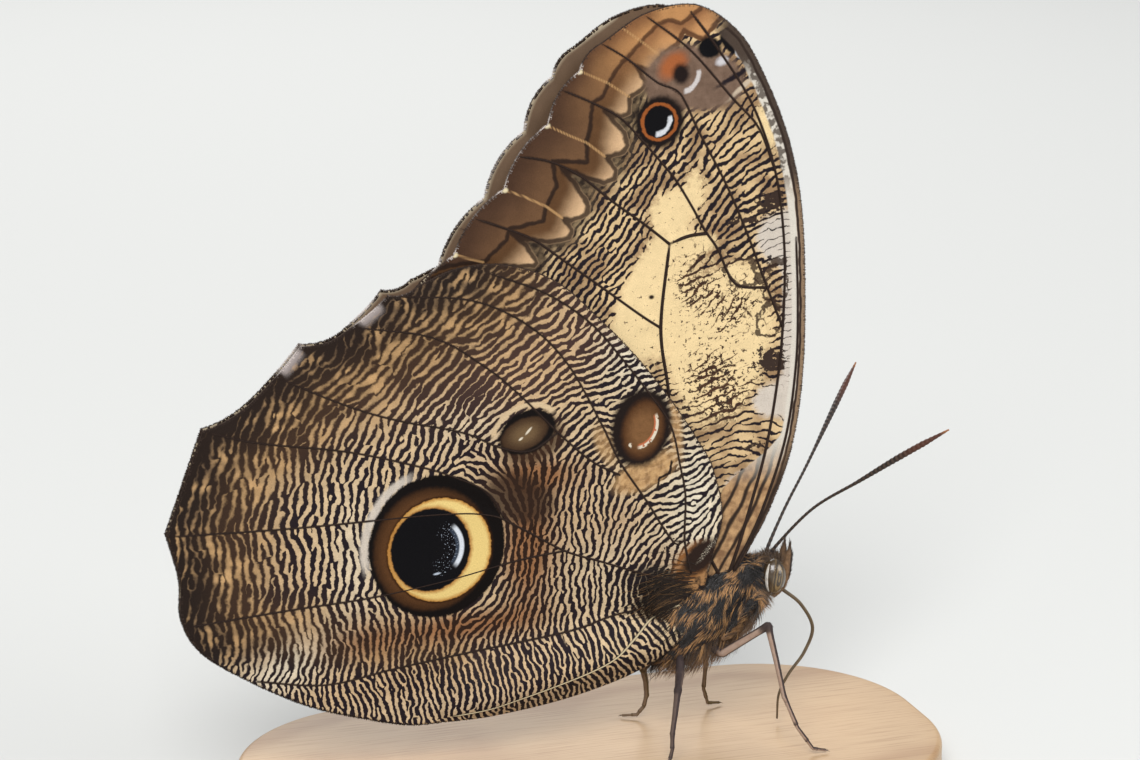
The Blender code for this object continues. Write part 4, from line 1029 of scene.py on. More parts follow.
def innerWingMaterial():
    # the hidden upper sides: brown scales with a paler rim
    material, shader, flow = newMaterial("wing_upperside", scaleSockets)
    sheet, gaps = flow.attribute("sheet", 1), flow.attribute("gaps", 1)
    speck = sheet.noise(7.0, 2.0)
    colour = sheet.noise(0.3, 3.0).mix(rgb(96, 76, 60), rgb(124, 99, 77))
    colour = gaps.axis(2).step(0.9, 0.3).mix(colour, rgb(184, 168, 142))
    colour = gaps.axis(0).step(0.3, 0.1).mix(colour, rgb(58, 42, 34))
    feed(shader, "Base Color", colour.scaled(speck * 0.5 + 0.75))
    feedBump(shader, speck, 0.3, 0.08)
    return material


def veinMaterial():
    # dark ribs, and pale ones where the attribute says so
    material, shader, flow = newMaterial("wing_rib", {"Roughness": 0.6, "Specular IOR Level": 0.08})
    colour = inMillimetres(flow).noise(2.5, 3.0).mix(rgb(30, 23, 21), rgb(62, 46, 38))
    colour = (flow.attribute("pale") * 0.9).mix(colour, rgb(222, 204, 166))
    feed(shader, "Base Color", colour)
    return material


# Tufts: slim three-sided blades that rise from a root, bend over along the lie and end in a point

def tuftPiece(name, roots, normals, lie, lengths, widths, lift, droop, rings, material, spread, fields):
    # path = root + lie * length * t + normal * lift * length * (1.5 t - 0.75 t^2) - up * droop * length * t^2
    count = len(roots)
    lie = unit(lie - normals * (lie * normals).sum(axis=1, keepdims=True))
    side = unit(np.cross(lie, normals))
    share = np.arange(rings) / rings
    t = np.concatenate([share, [1.0]])[None, :, None]
    long, lift = lengths[:, None, None], np.broadcast_to(lift, count)[:, None, None]
    rise = lift * long * (1.5 * t - 0.75 * t * t) - 0.05
    path = roots[:, None] + lie[:, None] * long * t + normals[:, None] * rise
    path[..., 2] -= (np.broadcast_to(droop, count) * lengths)[:, None] * t[0, :, 0] ** 2
    width = widths[:, None, None] * (1 - t[:, :-1]) ** 0.6 * 0.5
    centre = path[:, :-1]
    corners = [centre + side[:, None] * width, centre - side[:, None] * width,
               centre + normals[:, None] * width * 0.8]
    points = np.concatenate([np.stack(corners, axis=2).reshape(count, -1, 3), path[:, -1:]], axis=1)
    size = 3 * rings + 1
    tip = 3 * rings - 3
    fans = [[tip, tip + 1, tip + 3], [tip + 1, tip + 2, tip + 3], [tip + 2, tip, tip + 3], [2, 1, 0]]
    fans = np.array(fans)
    start = (np.arange(count) * size)[:, None, None]
    faces = [(ringFaces(rings, 3)[None] + start).reshape(-1, 4), (fans[None] + start).reshape(-1, 3)]
    piece = makePiece(name, points.reshape(-1, 3), faces, [material])
    along = np.concatenate([np.repeat(share, 3), [1.0]])
    store(piece, "tip", np.tile(along, count))
    for key, values in fields.items():
        store(piece, key, np.repeat(values, size, axis=0))
    patch = np.stack([along, np.concatenate([np.tile([0, 0.5, 1], rings), [0.5]])], axis=1)
    place = (spread[:, None] + (patch[None] - 0.5) * 0.003).reshape(-1, 2)
    corner = np.empty(len(piece.data.loops), np.int32)
    piece.data.loops.foreach_get("vertex_index", corner)
    layer = piece.data.uv_layers.new(name="OFBake")
    layer.data.foreach_set("uv", place[corner].astype(np.float32).ravel())
    return piece


# Fringe along the wing margins: short pale or dark scales that stand out from the rim

fringe = {"step": 0.10, "length": (0.36, 0.46), "width": (0.22, 0.30)}
# pale places of the fringe: two notches of the hindwing, and the corners between the forewing's arcs
hindFrost = [((-28.5, 62.8), (2.2, 2.2), 0, 1.0), ((-37.3, 57.4), (2.2, 2.2), 0, 1.0),
             ((-24.5, 65.2), (1.6, 1.0), 0, 0.6)]
foreFrost = [(corner[:2], (0.8, 0.8), 0, 1.2) for corner in foreOutline["margin"][4:0:-1]]
foreFrost.append(((-10, 80), (9, 14), -40, 0.42))

# what differs between the wings; reach says where the margin's line starts on the costa and ends on the inner
# edge, as indices of their points
wingKinds = {
    "forewing": {"outline": foreOutline, "veins": foreVeins, "height": foreHeight, "reach": (11, 2),
                 "chevron": 10.0, "leftTurn": wingSheet["leftForeTurn"], "slimness": 0.85, "paleVeins": (),
                 "fringeFrom": 28.0, "frost": foreFrost},
    "hindwing": {"outline": hindOutline, "veins": hindVeins, "height": hindHeight, "reach": (10, 8),
                 "chevron": 17.0, "leftTurn": 0.0, "slimness": 0.7, "paleVeins": ("analSecond",),
                 "fringeFrom": 0.0, "frost": hindFrost},
}


def sheetSpread(x, z):
    # a place on the sheet as one in the unit square
    return np.stack([(x + 60) / 100, z / 110], axis=1)


def fringePiece(name, wing, side, turn, material):
    # blades rooted along the rim that point out of it, pale where the frost's hills are
    parts, height = wing["outline"], wing["height"]
    count = int(curveLength(outlineCurve(parts, 400)[0]) / fringe["step"])
    rim, out = outlineCurve(parts, count, wingSheet["inset"] + 0.20)
    keep = rim[:, 1] > wing["fringeFrom"]
    x, z, out = rim[keep, 0], rim[keep, 1], out[keep]
    normal = sheetNormal(height, x, z)
    roots = np.stack([x, height(x, z), z], axis=1) + normal * rng.uniform(-0.05, 0.05, (len(x), 1))
    lie = np.stack([out[:, 0], 0 * x, out[:, 1]], axis=1) + rng.normal(0, 0.07, (len(x), 3))
    lengths = rng.uniform(*fringe["length"], len(x))
    widths = rng.uniform(*fringe["width"], len(x))
    pale = np.clip(hills(x, z, wing["frost"]) + rng.uniform(-0.12, 0.12, len(x)), 0, 1)
    fields = {"pale": pale, "spot": np.stack([x, z, 0 * x], axis=1)}
    normal, lie = (placeWing(way, side, turn, (0, 0)) for way in (normal, lie))
    tuftPiece(name, placeWing(roots, side, turn), normal, lie, lengths, widths, 0.02, 0.0, 2, material,
              sheetSpread(x, z), fields)


def fringeMaterial():
    # dark brown blades, whitish where the attribute says so
    material, shader, flow = newMaterial("fringe_scales", {"Roughness": 0.8, "Specular IOR Level": 0.2})
    pale, spot = flow.attribute("pale"), flow.attribute("spot", 1)
    colour = spot.noise(1.5, 2.0).mix(rgb(30, 23, 20), rgb(84, 64, 52))
    feed(shader, "Base Color", pale.step(0.2, 0.8).mix(colour, rgb(226, 214, 206)))
    return material


def buildWings():
    # each kind's grid is worked out once, and both sides take their membrane, veins and fringe from it
    upper, rib, hairs = innerWingMaterial(), veinMaterial(), fringeMaterial()
    scales = {"forewing": foreWingMaterial(), "hindwing": hindWingMaterial()}
    surfaces = {kind: wingSurface(wing) for kind, wing in wingKinds.items()}
    fields = {"forewing": foreFields(surfaces["forewing"]), "hindwing": hindFields(surfaces["hindwing"])}
    print("wing grids", *(len(surface["points"]) for surface in surfaces.values()))
    for label, side in sides:
        for kind, wing in wingKinds.items():
            turn = wing["leftTurn"] if side > 0 else 0.0
            buildWing(kind, label, surfaces[kind], side, turn, [scales[kind], upper], fields[kind])
            veinTubes(kind + "_veins_" + label, wing, side, turn, rib)
            fringePiece(kind + "_fringe_" + label, wing, side, turn, hairs)
    print("wings")


buildWings()


# Body: one skin from the abdomen's tip to the face, inside the solids by the coat's depth

trunk = {
    # x and z of the axis, then half the width and half the height across it
    "stations": [(-15.6, 14.2, 0.3, 0.3), (-13, 14.6, 1.1, 1.25), (-9, 15.2, 1.85, 2.0),
                 (-3, 16.35, 2.25, 2.45), (2, 17.5, 2.2, 2.4), (5.5, 18.2, 1.9, 2.2), (7, 18.3, 1.9, 2.4),
                 (8.6, 18.6, 2.6, 3.3), (11, 19.8, 3.6, 4.6), (14.4, 21.8, 4.2, 5.0),
                 (17.8, 23.8, 3.5, 4.4), (20, 24.4, 2.5, 3.4), (21, 24.5, 1.9, 2.9),
                 (22, 24.9, 1.65, 2.65), (23.2, 25.4, 1.5, 2.45), (24.3, 25.3, 1.3, 2.0),
                 (25.1, 25.4, 0.5, 0.7)],
    "rows": 240,
    "around": 72,
    "ringDepth": 0.07,
    "ringLength": 2.4,
    "neck": 20.6,
    "waist": 7.0,
}
coats = {
    "thorax": {"count": 11500, "length": (1.1, 2.1), "width": (0.10, 0.17), "lift": 0.20, "droop": 0.05},
    "head": {"count": 3400, "length": (0.45, 0.95), "width": (0.06, 0.10), "lift": 0.34, "droop": 0.0},
    "abdomen": {"count": 6500, "length": (0.8, 1.2), "width": (0.12, 0.18), "lift": 0.14, "droop": 0.0},
    "crest": {"count": 420, "length": (0.7, 1.2), "width": (0.05, 0.08), "lift": 0.75, "droop": 0.0},
    "ruff": {"count": 2600, "length": (1.1, 2.0), "width": (0.06, 0.10), "lift": 0.45, "droop": 0.30},
    "belly": {"count": 2400, "length": (1.6, 2.8), "width": (0.07, 0.12), "lift": 0.75, "droop": 0.30},
    "palp": {"count": 520, "length": (0.35, 0.75), "width": (0.05, 0.09), "lift": 0.32, "droop": 0.0},
    "leg": {"count": 420, "length": (0.25, 0.5), "width": (0.05, 0.08), "lift": 0.22, "droop": 0.0},
    "brush": {"count": 900, "length": (0.9, 1.7), "width": (0.06, 0.10), "lift": 0.45, "droop": 0.2},
}


def skinGrid(rings):
    # rings of points with their outward normals, from the cross of the two grid directions
    along = np.gradient(rings, axis=0)
    around = np.roll(rings, -1, axis=1) - np.roll(rings, 1, axis=1)
    normals = unit(np.cross(around, along))
    out = (normals * (rings - rings.mean(axis=1, keepdims=True))).sum(axis=-1, keepdims=True)
    return {"points": rings, "normals": normals * np.where(out < 0, -1, 1), "tangents": unit(along)}


def sampleSkin(skin, count, chance):
    # roots spread by area times the chance at each place, each with its normal, tangent and place on the grid
    rings = skin["points"]
    nextRow, nextOne = rings[1:], np.roll(rings, -1, axis=1)[:-1]
    area = np.linalg.norm(np.cross(nextRow - rings[:-1], nextOne - rings[:-1]), axis=-1) * chance(rings[:-1])
    pick = rng.choice(area.size, count, p=(area / area.sum()).ravel())
    i, j = np.divmod(pick, rings.shape[1])
    k = (j + 1) % rings.shape[1]
    s, t = rng.random((2, count, 1))
    found = []
    for grid in (rings, skin["normals"], skin["tangents"]):
        found.append((grid[i, j] * (1 - t) + grid[i, k] * t) * (1 - s)
                     + (grid[i + 1, j] * (1 - t) + grid[i + 1, k] * t) * s)
    place = np.concatenate([(i[:, None] + s) / len(rings), (j[:, None] + t) / rings.shape[1]], axis=1)
    return found[0], unit(found[1]), unit(found[2]), place


def everywhere(places):
    # the same chance at every place
    return np.ones(places.shape[:-1])


def stacked(samples):
    # samples from several skins, each of their four kinds of rows joined into one array
    return [np.vstack(rows) for rows in zip(*samples)]


def trunkRings():
    # ellipses across a curved axis; the abdomen's rings are shallow waves of their radius
    line = spaced(smoothCurve(trunk["stations"], 16), trunk["rows"], 2)
    x, z, wide, high = line.T
    start = trunk["stations"][0][0]
    wave = np.abs(np.sin(math.pi * (x - start) / trunk["ringLength"])) ** 0.5 - 1
    wave = 1 + trunk["ringDepth"] * wave * smoothStep((trunk["waist"] - 1 - x) / 2)
    tangent = unit(np.gradient(line[:, :2], axis=0))
    angle = np.linspace(0, 2 * math.pi, trunk["around"], endpoint=False)
    across, up = (wide * wave)[:, None] * np.cos(angle), (high * wave)[:, None] * np.sin(angle)
    return np.stack([x[:, None] - tangent[:, 1:] * up, across, z[:, None] + tangent[:, :1] * up], axis=-1)


def coatColour(place):
    # black patches combed back and down, parted by tan-orange lines; brown on belly and abdomen;
    # on the head a dark crown and tan cheeks
    x, z = place.axis(0), place.axis(2)
    bent = place.moved(place.noise(0.5, 2.0, 0.5, 1), 1.6)
    along, across = bent.axis(0) * 0.8 + bent.axis(2) * 0.6, bent.axis(0) * 0.6 - bent.axis(2) * 0.8
    parting = place.vector(along * 0.26, bent.axis(1) * 0.42, across * 0.52).cellEdges(1.0)
    strand = place.vector(along * 0.5, bent.axis(1) * 3.0, across * 3.0).noise(1.0, 2.0)
    black = strand.mix(rgb(28, 26, 27), rgb(66, 60, 57))
    tan = strand.mix(rgb(192, 138, 86), rgb(246, 190, 126))
    colour = (parting + (place.noise(1.2, 2.0) - 0.5) * 0.05).step(0.062, 0.036).mix(black, tan)
    belly = strand.mix(rgb(104, 78, 58), rgb(196, 150, 106))
    low = (z - x * 0.58 - 10.2 + (strand - 0.5) * 2).step(1.0, -0.8)
    colour = (low * 0.75).mix(colour, belly)
    abdomen = place.noise(0.9, 3.0).mix(rgb(86, 66, 50), rgb(142, 114, 88))
    colour = x.step(8.0, 6.0).mix(colour, abdomen)
    face = strand.mix(rgb(52, 42, 36), rgb(132, 100, 70))
    face = (z.step(24.2, 22.6) * 0.7).mix(face, rgb(186, 148, 106))
    return x.step(20.9, 21.5).mix(colour, face), strand


def coatMaterials():
    # the skin and the tufts carry the same markings, on the place of the skin and on each tuft's root
    material, shader, flow = newMaterial("body_skin", {"Roughness": 0.8, "Specular IOR Level": 0.2})
    place = inMillimetres(flow)
    colour, strand = coatColour(place)
    feed(shader, "Base Color", colour.scaled(0.8))
    feedBump(shader, strand + place.noise(4.0, 2.0) * 0.6, 0.6, 0.25)
    fur, shader, flow = newMaterial("body_fur", {"Roughness": 0.75, "Specular IOR Level": 0.25,
                                                 "Sheen Weight": 0.15, "Sheen Roughness": 0.4})
    colour, _ = coatColour(flow.attribute("root", 1))
    shade = flow.attribute("shade") * 0.45 + 0.72
    feed(shader, "Base Color", colour.scaled(shade * (flow.attribute("tip") * 0.35 + 0.8)))
    return material, fur


def coatPiece(name, skin, coat, chance, lie, material):
    # tufts rooted on a skin by the coat's numbers; lie gives their direction from roots, normals and tangents
    roots, normals, tangents, place = sampleSkin(skin, coat["count"], chance)
    dressed(name, roots, normals, lie(roots, normals, tangents), coat, material, place)


def dressed(name, roots, normals, lie, coat, material, place):
    # a coat's tufts, whose lie strays at random and sways in waves of the root's own place
    count = len(roots)
    lie = unit(lie) + rng.normal(0, 0.13, (count, 3))
    lie = lie + 0.22 * np.sin(roots[:, [2, 0, 1]] * 1.7 + roots[:, [1, 2, 0]] * 1.1)
    lengths, widths = rng.uniform(*coat["length"], count), rng.uniform(*coat["width"], count)
    lift = coat["lift"] * rng.uniform(0.6, 1.4, count)
    fields = {"root": roots, "shade": rng.random(count)}
    tuftPiece(name, roots, normals, lie, lengths, widths, lift, coat["droop"], 3, material, place,
              fields)


def buildTrunk(skinScales, fur):
    # the skin, then a coat for each of its parts, told apart by their place along the body
    rings = trunkRings()
    skin = skinGrid(rings)
    points = np.vstack([rings.reshape(-1, 3), rings[0].mean(axis=0), rings[-1].mean(axis=0)])
    piece = makePiece("body_skin", points, closedFaces(*rings.shape[:2]), [skinScales])
    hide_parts("thorax", "abdomen", "head")
    waist, neck = trunk["waist"], trunk["neck"]
    down, back, up = np.array([0, 0, -1.0]), np.array([-1.0, 0, 0]), np.array([0, 0, 1.0])
    coatPiece("fur_thorax", skin, coats["thorax"], lambda p: (p[..., 0] > waist) & (p[..., 0] < neck),
              lambda r, n, t: down * 0.6 - t * 0.8, fur)
    coatPiece("fur_abdomen", skin, coats["abdomen"], lambda p: p[..., 0] <= waist,
              lambda r, n, t: -t, fur)
    coatPiece("fur_head", skin, coats["head"], lambda p: p[..., 0] >= neck,
              lambda r, n, t: back * 0.7 + up * 0.5 * np.sign(r[:, 2:] - 25.4), fur)
    coatPiece("fur_crest", skin, coats["crest"], lambda p: (p[..., 0] > 20.0) & (p[..., 2] > 26.6),
              lambda r, n, t: back * 0.3 + up, fur)
    coatPiece("fur_ruff", skin, coats["ruff"], lambda p: (p[..., 0] > 19.0) & (p[..., 0] < 21.8),
              lambda r, n, t: down * 0.5 - back * 0.6, fur)
    coatPiece("fur_belly", skin, coats["belly"],
              lambda p: (p[..., 0] > waist) & (p[..., 0] < 19) & (p[..., 2] < p[..., 0] * 0.58 + 11.0),
              lambda r, n, t: down * 0.7 + back * 0.5, fur)


# Head: eyes, palps, antennae and tongue

head = {
    "eyeCentre": (23.1, 1.4, 25.3),
    "eyeRadii": (1.58, 1.48, 2.26),
    "palpPath": [(23.2, 1, 22.5), (24.1, 1, 23.3), (24.95, 0.95, 25), (25.3, 0.9, 27.2), (25.5, 0.88, 29.4)],
    "palpRadii": [0.30, 0.50, 0.55, 0.46, 0.05],
    "bandTurn": 141.0,
    "bandRadius": 0.21,
    "antennaRight": [(22.9, -0.7, 27.3), (23.4, -0.9, 28.8), (27.3, -3.6, 34.3), (31.6, -7.7, 38.6),
                     (35.4, -11.3, 42.4), (39.8, -15.4, 46.5)],
    "antennaLeft": [(22.9, 0.7, 27.3), (23.3, 0.8, 28.7), (26.1, 2.2, 33.1), (30.4, 6.1, 36.9),
                    (37, 13, 42.3), (42.1, 18.5, 46.2)],
    "antennaRadii": [0.24, 0.19, 0.18, 0.18, 0.20, 0.30, 0.38, 0.36, 0.10],
    "antennaRings": 46,
    "tongue": [(24.0, 0, 23.5), (25.3, 0, 22.6), (27.5, 0, 20.6), (29.1, 0, 17.4), (28, 0, 14.2),
               (26, 0, 11.6), (24.7, 0, 9), (24.5, 0, 5.75)],
    "tongueRadii": [0.30, 0.27, 0.25, 0.22, 0.20, 0.17, 0.13],
    "tongueRings": 90,
    "groove": 0.22,
    # rows and points around: palp, antenna, tongue
    "palpGrid": (40, 20),
    "antennaGrid": (190, 14),
    "tongueGrid": (220, 18),
}


def alongRadii(values, count):
    # radii between named stations at even shares of a path
    return np.interp(np.linspace(0, 1, count), np.linspace(0, 1, len(values)), values)


def tubePiece(name, path, radii, count, material, node, squash=1.0, reference=(0.3, 1.0, 0.2)):
    # one tube in place of a node, with its share of the way along for the material
    points, faces, along = tubeGroup(path, radii, count, squash, reference)
    piece = makePiece(name, points, faces, [material])
    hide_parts(node)
    store(piece, "along", along)


def eyePiece(name, side, node, material):
    # an ellipsoid on a grid of latitude and longitude, its poles above and below
    rows, count = 56, 96
    lat = np.linspace(-math.pi / 2, math.pi / 2, rows + 2)[1:-1, None]
    lon = np.linspace(0, 2 * math.pi, count, endpoint=False)[None, :]
    ball = np.stack([np.cos(lat) * np.cos(lon), np.cos(lat) * np.sin(lon), np.sin(lat) + 0 * lon], axis=-1)
    ball = np.vstack([ball.reshape(-1, 3), [[0, 0, -1], [0, 0, 1]]])
    cx, cy, cz = head["eyeCentre"]
    points = ball * np.array(head["eyeRadii"]) + np.array([cx, side * cy, cz])
    piece = makePiece(name, points, closedFaces(rows, count), [material])
    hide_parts(node)


def eyeBand(name, side, material):
    # a white lens of scales down the eye's rear edge: a flat tube along one meridian, widest at its middle
    lat = np.linspace(-0.95, 0.95, 44)
    turn = math.radians(head["bandTurn"])
    out = np.array([math.cos(turn), side * math.sin(turn), 0.0])
    radii = np.array(head["eyeRadii"])
    across = np.cos(lat)[:, None] * out * radii * 1.04
    path = np.array(head["eyeCentre"]) * np.array([1, side, 1]) + across
    path[:, 2] += radii[2] * np.sin(lat)
    width = head["bandRadius"] * (1 - (lat / 0.97) ** 2) ** 0.7
    points, faces, _ = tubeGroup(path, width, 16, 0.5, out)
    makePiece(name, points, faces, [material])


def bandMaterial():
    # white scales with a grain
    material, shader, flow = newMaterial("eye_band", {"Roughness": 0.75, "Specular IOR Level": 0.2})
    grain = inMillimetres(flow).noise(3.0, 3.0)
    feed(shader, "Base Color", grain.step(0.3, 0.7).mix(rgb(206, 194, 178), rgb(244, 240, 232)))
    feedBump(shader, grain, 0.4, 0.05)
    return material


def eyeMaterial():
    # upright nested ovals of gold and dark brown under a glossy skin of fine facets
    material, shader, flow = newMaterial("compound_eye", {"Roughness": 0.22, "Coat Weight": 0.5,
                                                          "Coat Roughness": 0.08})
    place = inMillimetres(flow)
    cx, _, cz = head["eyeCentre"]
    flat = place.vector(place.axis(0), place.axis(2))
    oval = flat.oval((cx + 0.25, cz), (0.44, 1.5), -8) + (flat.noise(1.4, 3.0) - 0.5) * 0.6
    band = (oval * 7.5 + 1.0).sine().step(-0.8, 0.9)
    colour = band.mix(rgb(60, 47, 32), flat.noise(1.8, 2.0).mix(rgb(98, 80, 50), rgb(166, 138, 94)))
    colour = oval.step(1.4, 2.0).mix(colour, rgb(80, 63, 42))
    facets = place.cellEdges(11.0)
    feed(shader, "Base Color", colour.scaled(facets.step(0.0, 0.10) * 0.25 + 0.78))
    feedBump(shader, facets.step(0.0, 0.25), 0.25, 0.02)
    return material


def antennaMaterial():
    # dark rings one after another, and a red-brown club
    material, shader, flow = newMaterial("antenna", {"Roughness": 0.5, "Specular IOR Level": 0.35})
    along = flow.attribute("along")
    ring = (along * 2 * math.pi * head["antennaRings"]).sine().step(-0.2, 0.7)
    colour = ring.mix(rgb(44, 34, 30), rgb(78, 60, 48))
    club = along.step(0.72, 0.86)
    colour = (club * 0.85).mix(colour, rgb(96, 54, 38))
    colour = along.step(0.955, 0.99).mix(colour, rgb(170, 112, 70))
    feed(shader, "Base Color", colour.scaled(inMillimetres(flow).noise(3.0, 2.0) * 0.5 + 0.75))
    feedBump(shader, ring, 0.4, 0.05)
    return material


def tongueMaterial():
    # olive-brown horn in fine rings
    material, shader, flow = newMaterial("tongue", {"Roughness": 0.42, "Specular IOR Level": 0.4})
    ring = (flow.attribute("along") * 2 * math.pi * head["tongueRings"]).sine() * 0.5 + 0.5
    place = inMillimetres(flow)
    colour = place.noise(1.1, 3.0).mix(rgb(74, 58, 40), rgb(128, 106, 72))
    feed(shader, "Base Color", colour.scaled(ring * 0.25 + 0.8))
    feedBump(shader, ring, 0.35, 0.04)
    return material


def skinAndHair(names, sockets, colourOf, bump):
    # the same colours on a skin, by its own place, and on its hairs, by their roots
    made = []
    for name, place in zip(names, (inMillimetres, lambda flow: flow.attribute("root", 1))):
        material, shader, flow = newMaterial(name, sockets)
        colour, grain = colourOf(place(flow))
        feed(shader, "Base Color", colour)
        feedBump(shader, grain, 0.4, bump)
        made.append(material)
    return made


def palpColour(spot):
    # orange-tan scales; the dark front edge leans forward as it rises, and the tip is dark all round
    grain = spot.noise(2.5, 2.0)
    ahead = spot.axis(0) - (spot.axis(2) - 25) * 0.1 + (grain - 0.5) * 0.25
    dark = ahead.step(25.12, 25.3).orMore(spot.axis(2).step(27.4, 29.0) * 0.85)
    return dark.mix(grain.mix(rgb(94, 72, 54), rgb(176, 136, 98)), rgb(58, 48, 44)), grain


def buildTongue():
    # a tube with a groove down its front and its back: the radius shrinks by a high power of the cosine
    rows, count = head["tongueGrid"]
    path = spaced(smoothCurve(head["tongue"], 24), rows)
    rings = sweepRings(path, alongRadii(head["tongueRadii"], rows), count, 1.0, (0, 1, 0))
    angle = np.linspace(0, 2 * math.pi, count, endpoint=False)
    groove = 1 - head["groove"] * np.cos(angle) ** 8
    rings = path[:, None] + (rings - path[:, None]) * groove[None, :, None]
    points = np.vstack([rings.reshape(-1, 3), path[[0, -1]]])
    piece = makePiece("tongue", points, closedFaces(rows, count), [tongueMaterial()])
    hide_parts("proboscis")
    store(piece, "along", np.concatenate([np.repeat(np.linspace(0, 1, rows), count), [0, 1]]))


def buildHead():
    # eyes with their bands, palps with their hair, and ringed antennae on both sides, then the tongue
    eyes, band, horn = eyeMaterial(), bandMaterial(), antennaMaterial()
    sockets = {"Roughness": 0.7, "Specular IOR Level": 0.25}
    palpSkin, palpHair = skinAndHair(("palp_skin", "palp_hair"), sockets, palpColour, 0.06)
    samples = []
    for label, side in sides:
        eyePiece("eye_lens_" + label, side, "eye_" + label, eyes)
        eyeBand("eye_band_" + label, side, band)
        rows, count = head["palpGrid"]
        path = spaced(smoothCurve(head["palpPath"], 10), rows) * np.array([1, side, 1])
        radii = alongRadii(head["palpRadii"], rows)
        tubePiece("palp_scales_" + label, path, radii, count, palpSkin, "palp_" + label, 0.62,
                  (0, 1, 0))
        skin = skinGrid(sweepRings(path, radii, count, 0.62, (0, 1, 0)))
        samples.append(sampleSkin(skin, coats["palp"]["count"], everywhere))
        rows, count = head["antennaGrid"]
        path = spaced(smoothCurve(head["antenna" + label.capitalize()], 24), rows)
        radii = alongRadii(head["antennaRadii"], rows)
        radii = radii * (1 + 0.09 * np.cos(np.linspace(0, 2 * math.pi * head["antennaRings"], rows)))
        tubePiece("antenna_rings_" + label, path, radii, count, horn, "antenna_" + label)
    roots, normals, lies, places = stacked(samples)
    dressed("fur_palps", roots, normals, lies, coats["palp"], palpHair, places)
    buildTongue()


# Legs: thigh, shin with two spurs, a foot of five joints and two claws; the front pair is a pair of brushes

legs = {
    "radii": [0.50, 0.54, 0.42, 0.35, 0.30, 0.25, 0.21, 0.15],
    "around": 18,
    # the point of the path where the foot starts, and the share of the way to the next that one joint takes
    "footFrom": 4.2,
    "footJoint": 0.72,
    "midleg_right": [(13.6, -1.8, 17.7), (15.4, -4.3, 17.0), (19.9, -8, 21.3), (20.8, -8.9, 16.6),
                     (21.5, -9.6, 12.6), (23, -10.5, 8.6), (24.9, -11, 5.8), (26.5, -11.2, 5.45)],
    "midleg_left": [(13.6, 1.8, 17.9), (15.8, 4.3, 17.2), (18, 6.2, 18.2), (17.6, 6.6, 14.8),
                    (17.4, 6.9, 11.4), (17.3, 7.3, 8), (18.1, 7.9, 5.75), (19.8, 8.3, 5.45)],
    "hindleg_right": [(10.8, -1.8, 16.9), (9.9, -4, 14.6), (9, -5.9, 13.4), (8.2, -7.2, 11), (7.5, -8.2, 8.8),
                      (7.2, -9, 7), (6.6, -9.6, 5.65), (5, -10.2, 5.45)],
    "hindleg_left": [(10.2, 1.8, 16.9), (8.9, 3.6, 14.2), (8.2, 4.8, 12.6), (8.8, 5.4, 10.6), (9.1, 5.9, 8.6),
                     (8.9, 6.4, 6.9), (8.2, 7, 5.65), (6.5, 7.8, 5.45)],
    "brush": [(15.4, 4.2, 18.8), (16.8, 5.1, 21.2), (18.5, 5.1, 23.5), (19.6, 4.8, 24.1), (20.1, 4.3, 22.9),
              (19.4, 4.4, 21), (18.3, 4.4, 19.4)],
    "brushRadii": [0.36, 0.36, 0.34, 0.30, 0.28, 0.26, 0.14],
    "brushGrid": (70, 16),
    "tones": {"midleg": (0.75, 0.0), "hindleg": (0.15, 0.0), "far": (0.35, 1.0)},
}


def spine(start, way, length, radius, curl):
    # a thin tapering spine whose path bends down by the curl times the square of the way along
    t = np.linspace(0, 1, 7)[:, None]
    path = start + unit(way) * length * t + np.array([0, 0, -1]) * curl * length * t * t
    return tubeGroup(path, radius * (1 - t[:, 0] * 0.85), 8, 1.0, (0.2, 0.3, 1.0))


def jointed(points):
    # straight limbs: a point just before and after each joint, with the joint's number as a fourth column
    numbered = np.hstack([points, np.arange(len(points))[:, None]])
    early, late = numbered[:-1] * 0.86 + numbered[1:] * 0.14, numbered[:-1] * 0.14 + numbered[1:] * 0.86
    rows = np.stack([numbered[:-1], early, late], axis=1).reshape(-1, 4)
    return spaced(smoothCurve(np.vstack([rows, numbered[-1:]]), 8), 200, 3)


def legPiece(name, path, node, tone, material):
    # a tube thicker at knee, ankle and the end of each foot joint, with spurs and claws; returns its skin
    step, around = path[:, 3], legs["around"]
    radii = np.interp(step, np.arange(8), legs["radii"])
    radii = radii * (1 + 0.22 * np.exp(-((step - 2) / 0.16) ** 2) + 0.15 * np.exp(-((step - 4) / 0.1) ** 2))
    joint = np.mod((step - legs["footFrom"]) / legs["footJoint"], 1.0)
    foot = smoothStep((step - legs["footFrom"]) / 0.2)
    radii = radii * (1 + foot * (0.28 * joint ** 2 - 0.10))
    path = path[:, :3]
    groups = [tubeGroup(path, radii, around)]
    shin = np.argmin(np.abs(step - 4.0))
    way, last = unit(path[shin + 8] - path[shin]), unit(path[-1] - path[-6])
    side = unit(np.cross(way, np.array([0.9, 0.2, 0.1])))
    for turn in (-1, 1):
        groups.append(spine(path[shin], way + side * 0.55 * turn, 0.9, 0.07, 0.0))
        groups.append(spine(path[-1], last + np.array([0.1, 0.5 * turn, 0.25]), 0.55, 0.06, 0.35))
    points, faces = joinGroups(groups)
    piece = makePiece(name, points, faces, [material])
    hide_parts(node)
    ring = sweepRings(path, radii, around) - path[:, None]
    facing = unit(ring)[..., [0, 2]].reshape(-1, 2)
    extra = len(points) - len(facing)
    along = np.concatenate([np.repeat(step, around), np.full(extra, 7.0)])
    facing = np.vstack([facing, np.zeros((extra, 2))])
    store(piece, "leg", np.hstack([along[:, None], facing]))
    store(piece, "tone", np.tile([*tone, 0.0], (len(along), 1)))
    return skinGrid(ring + path[:, None])


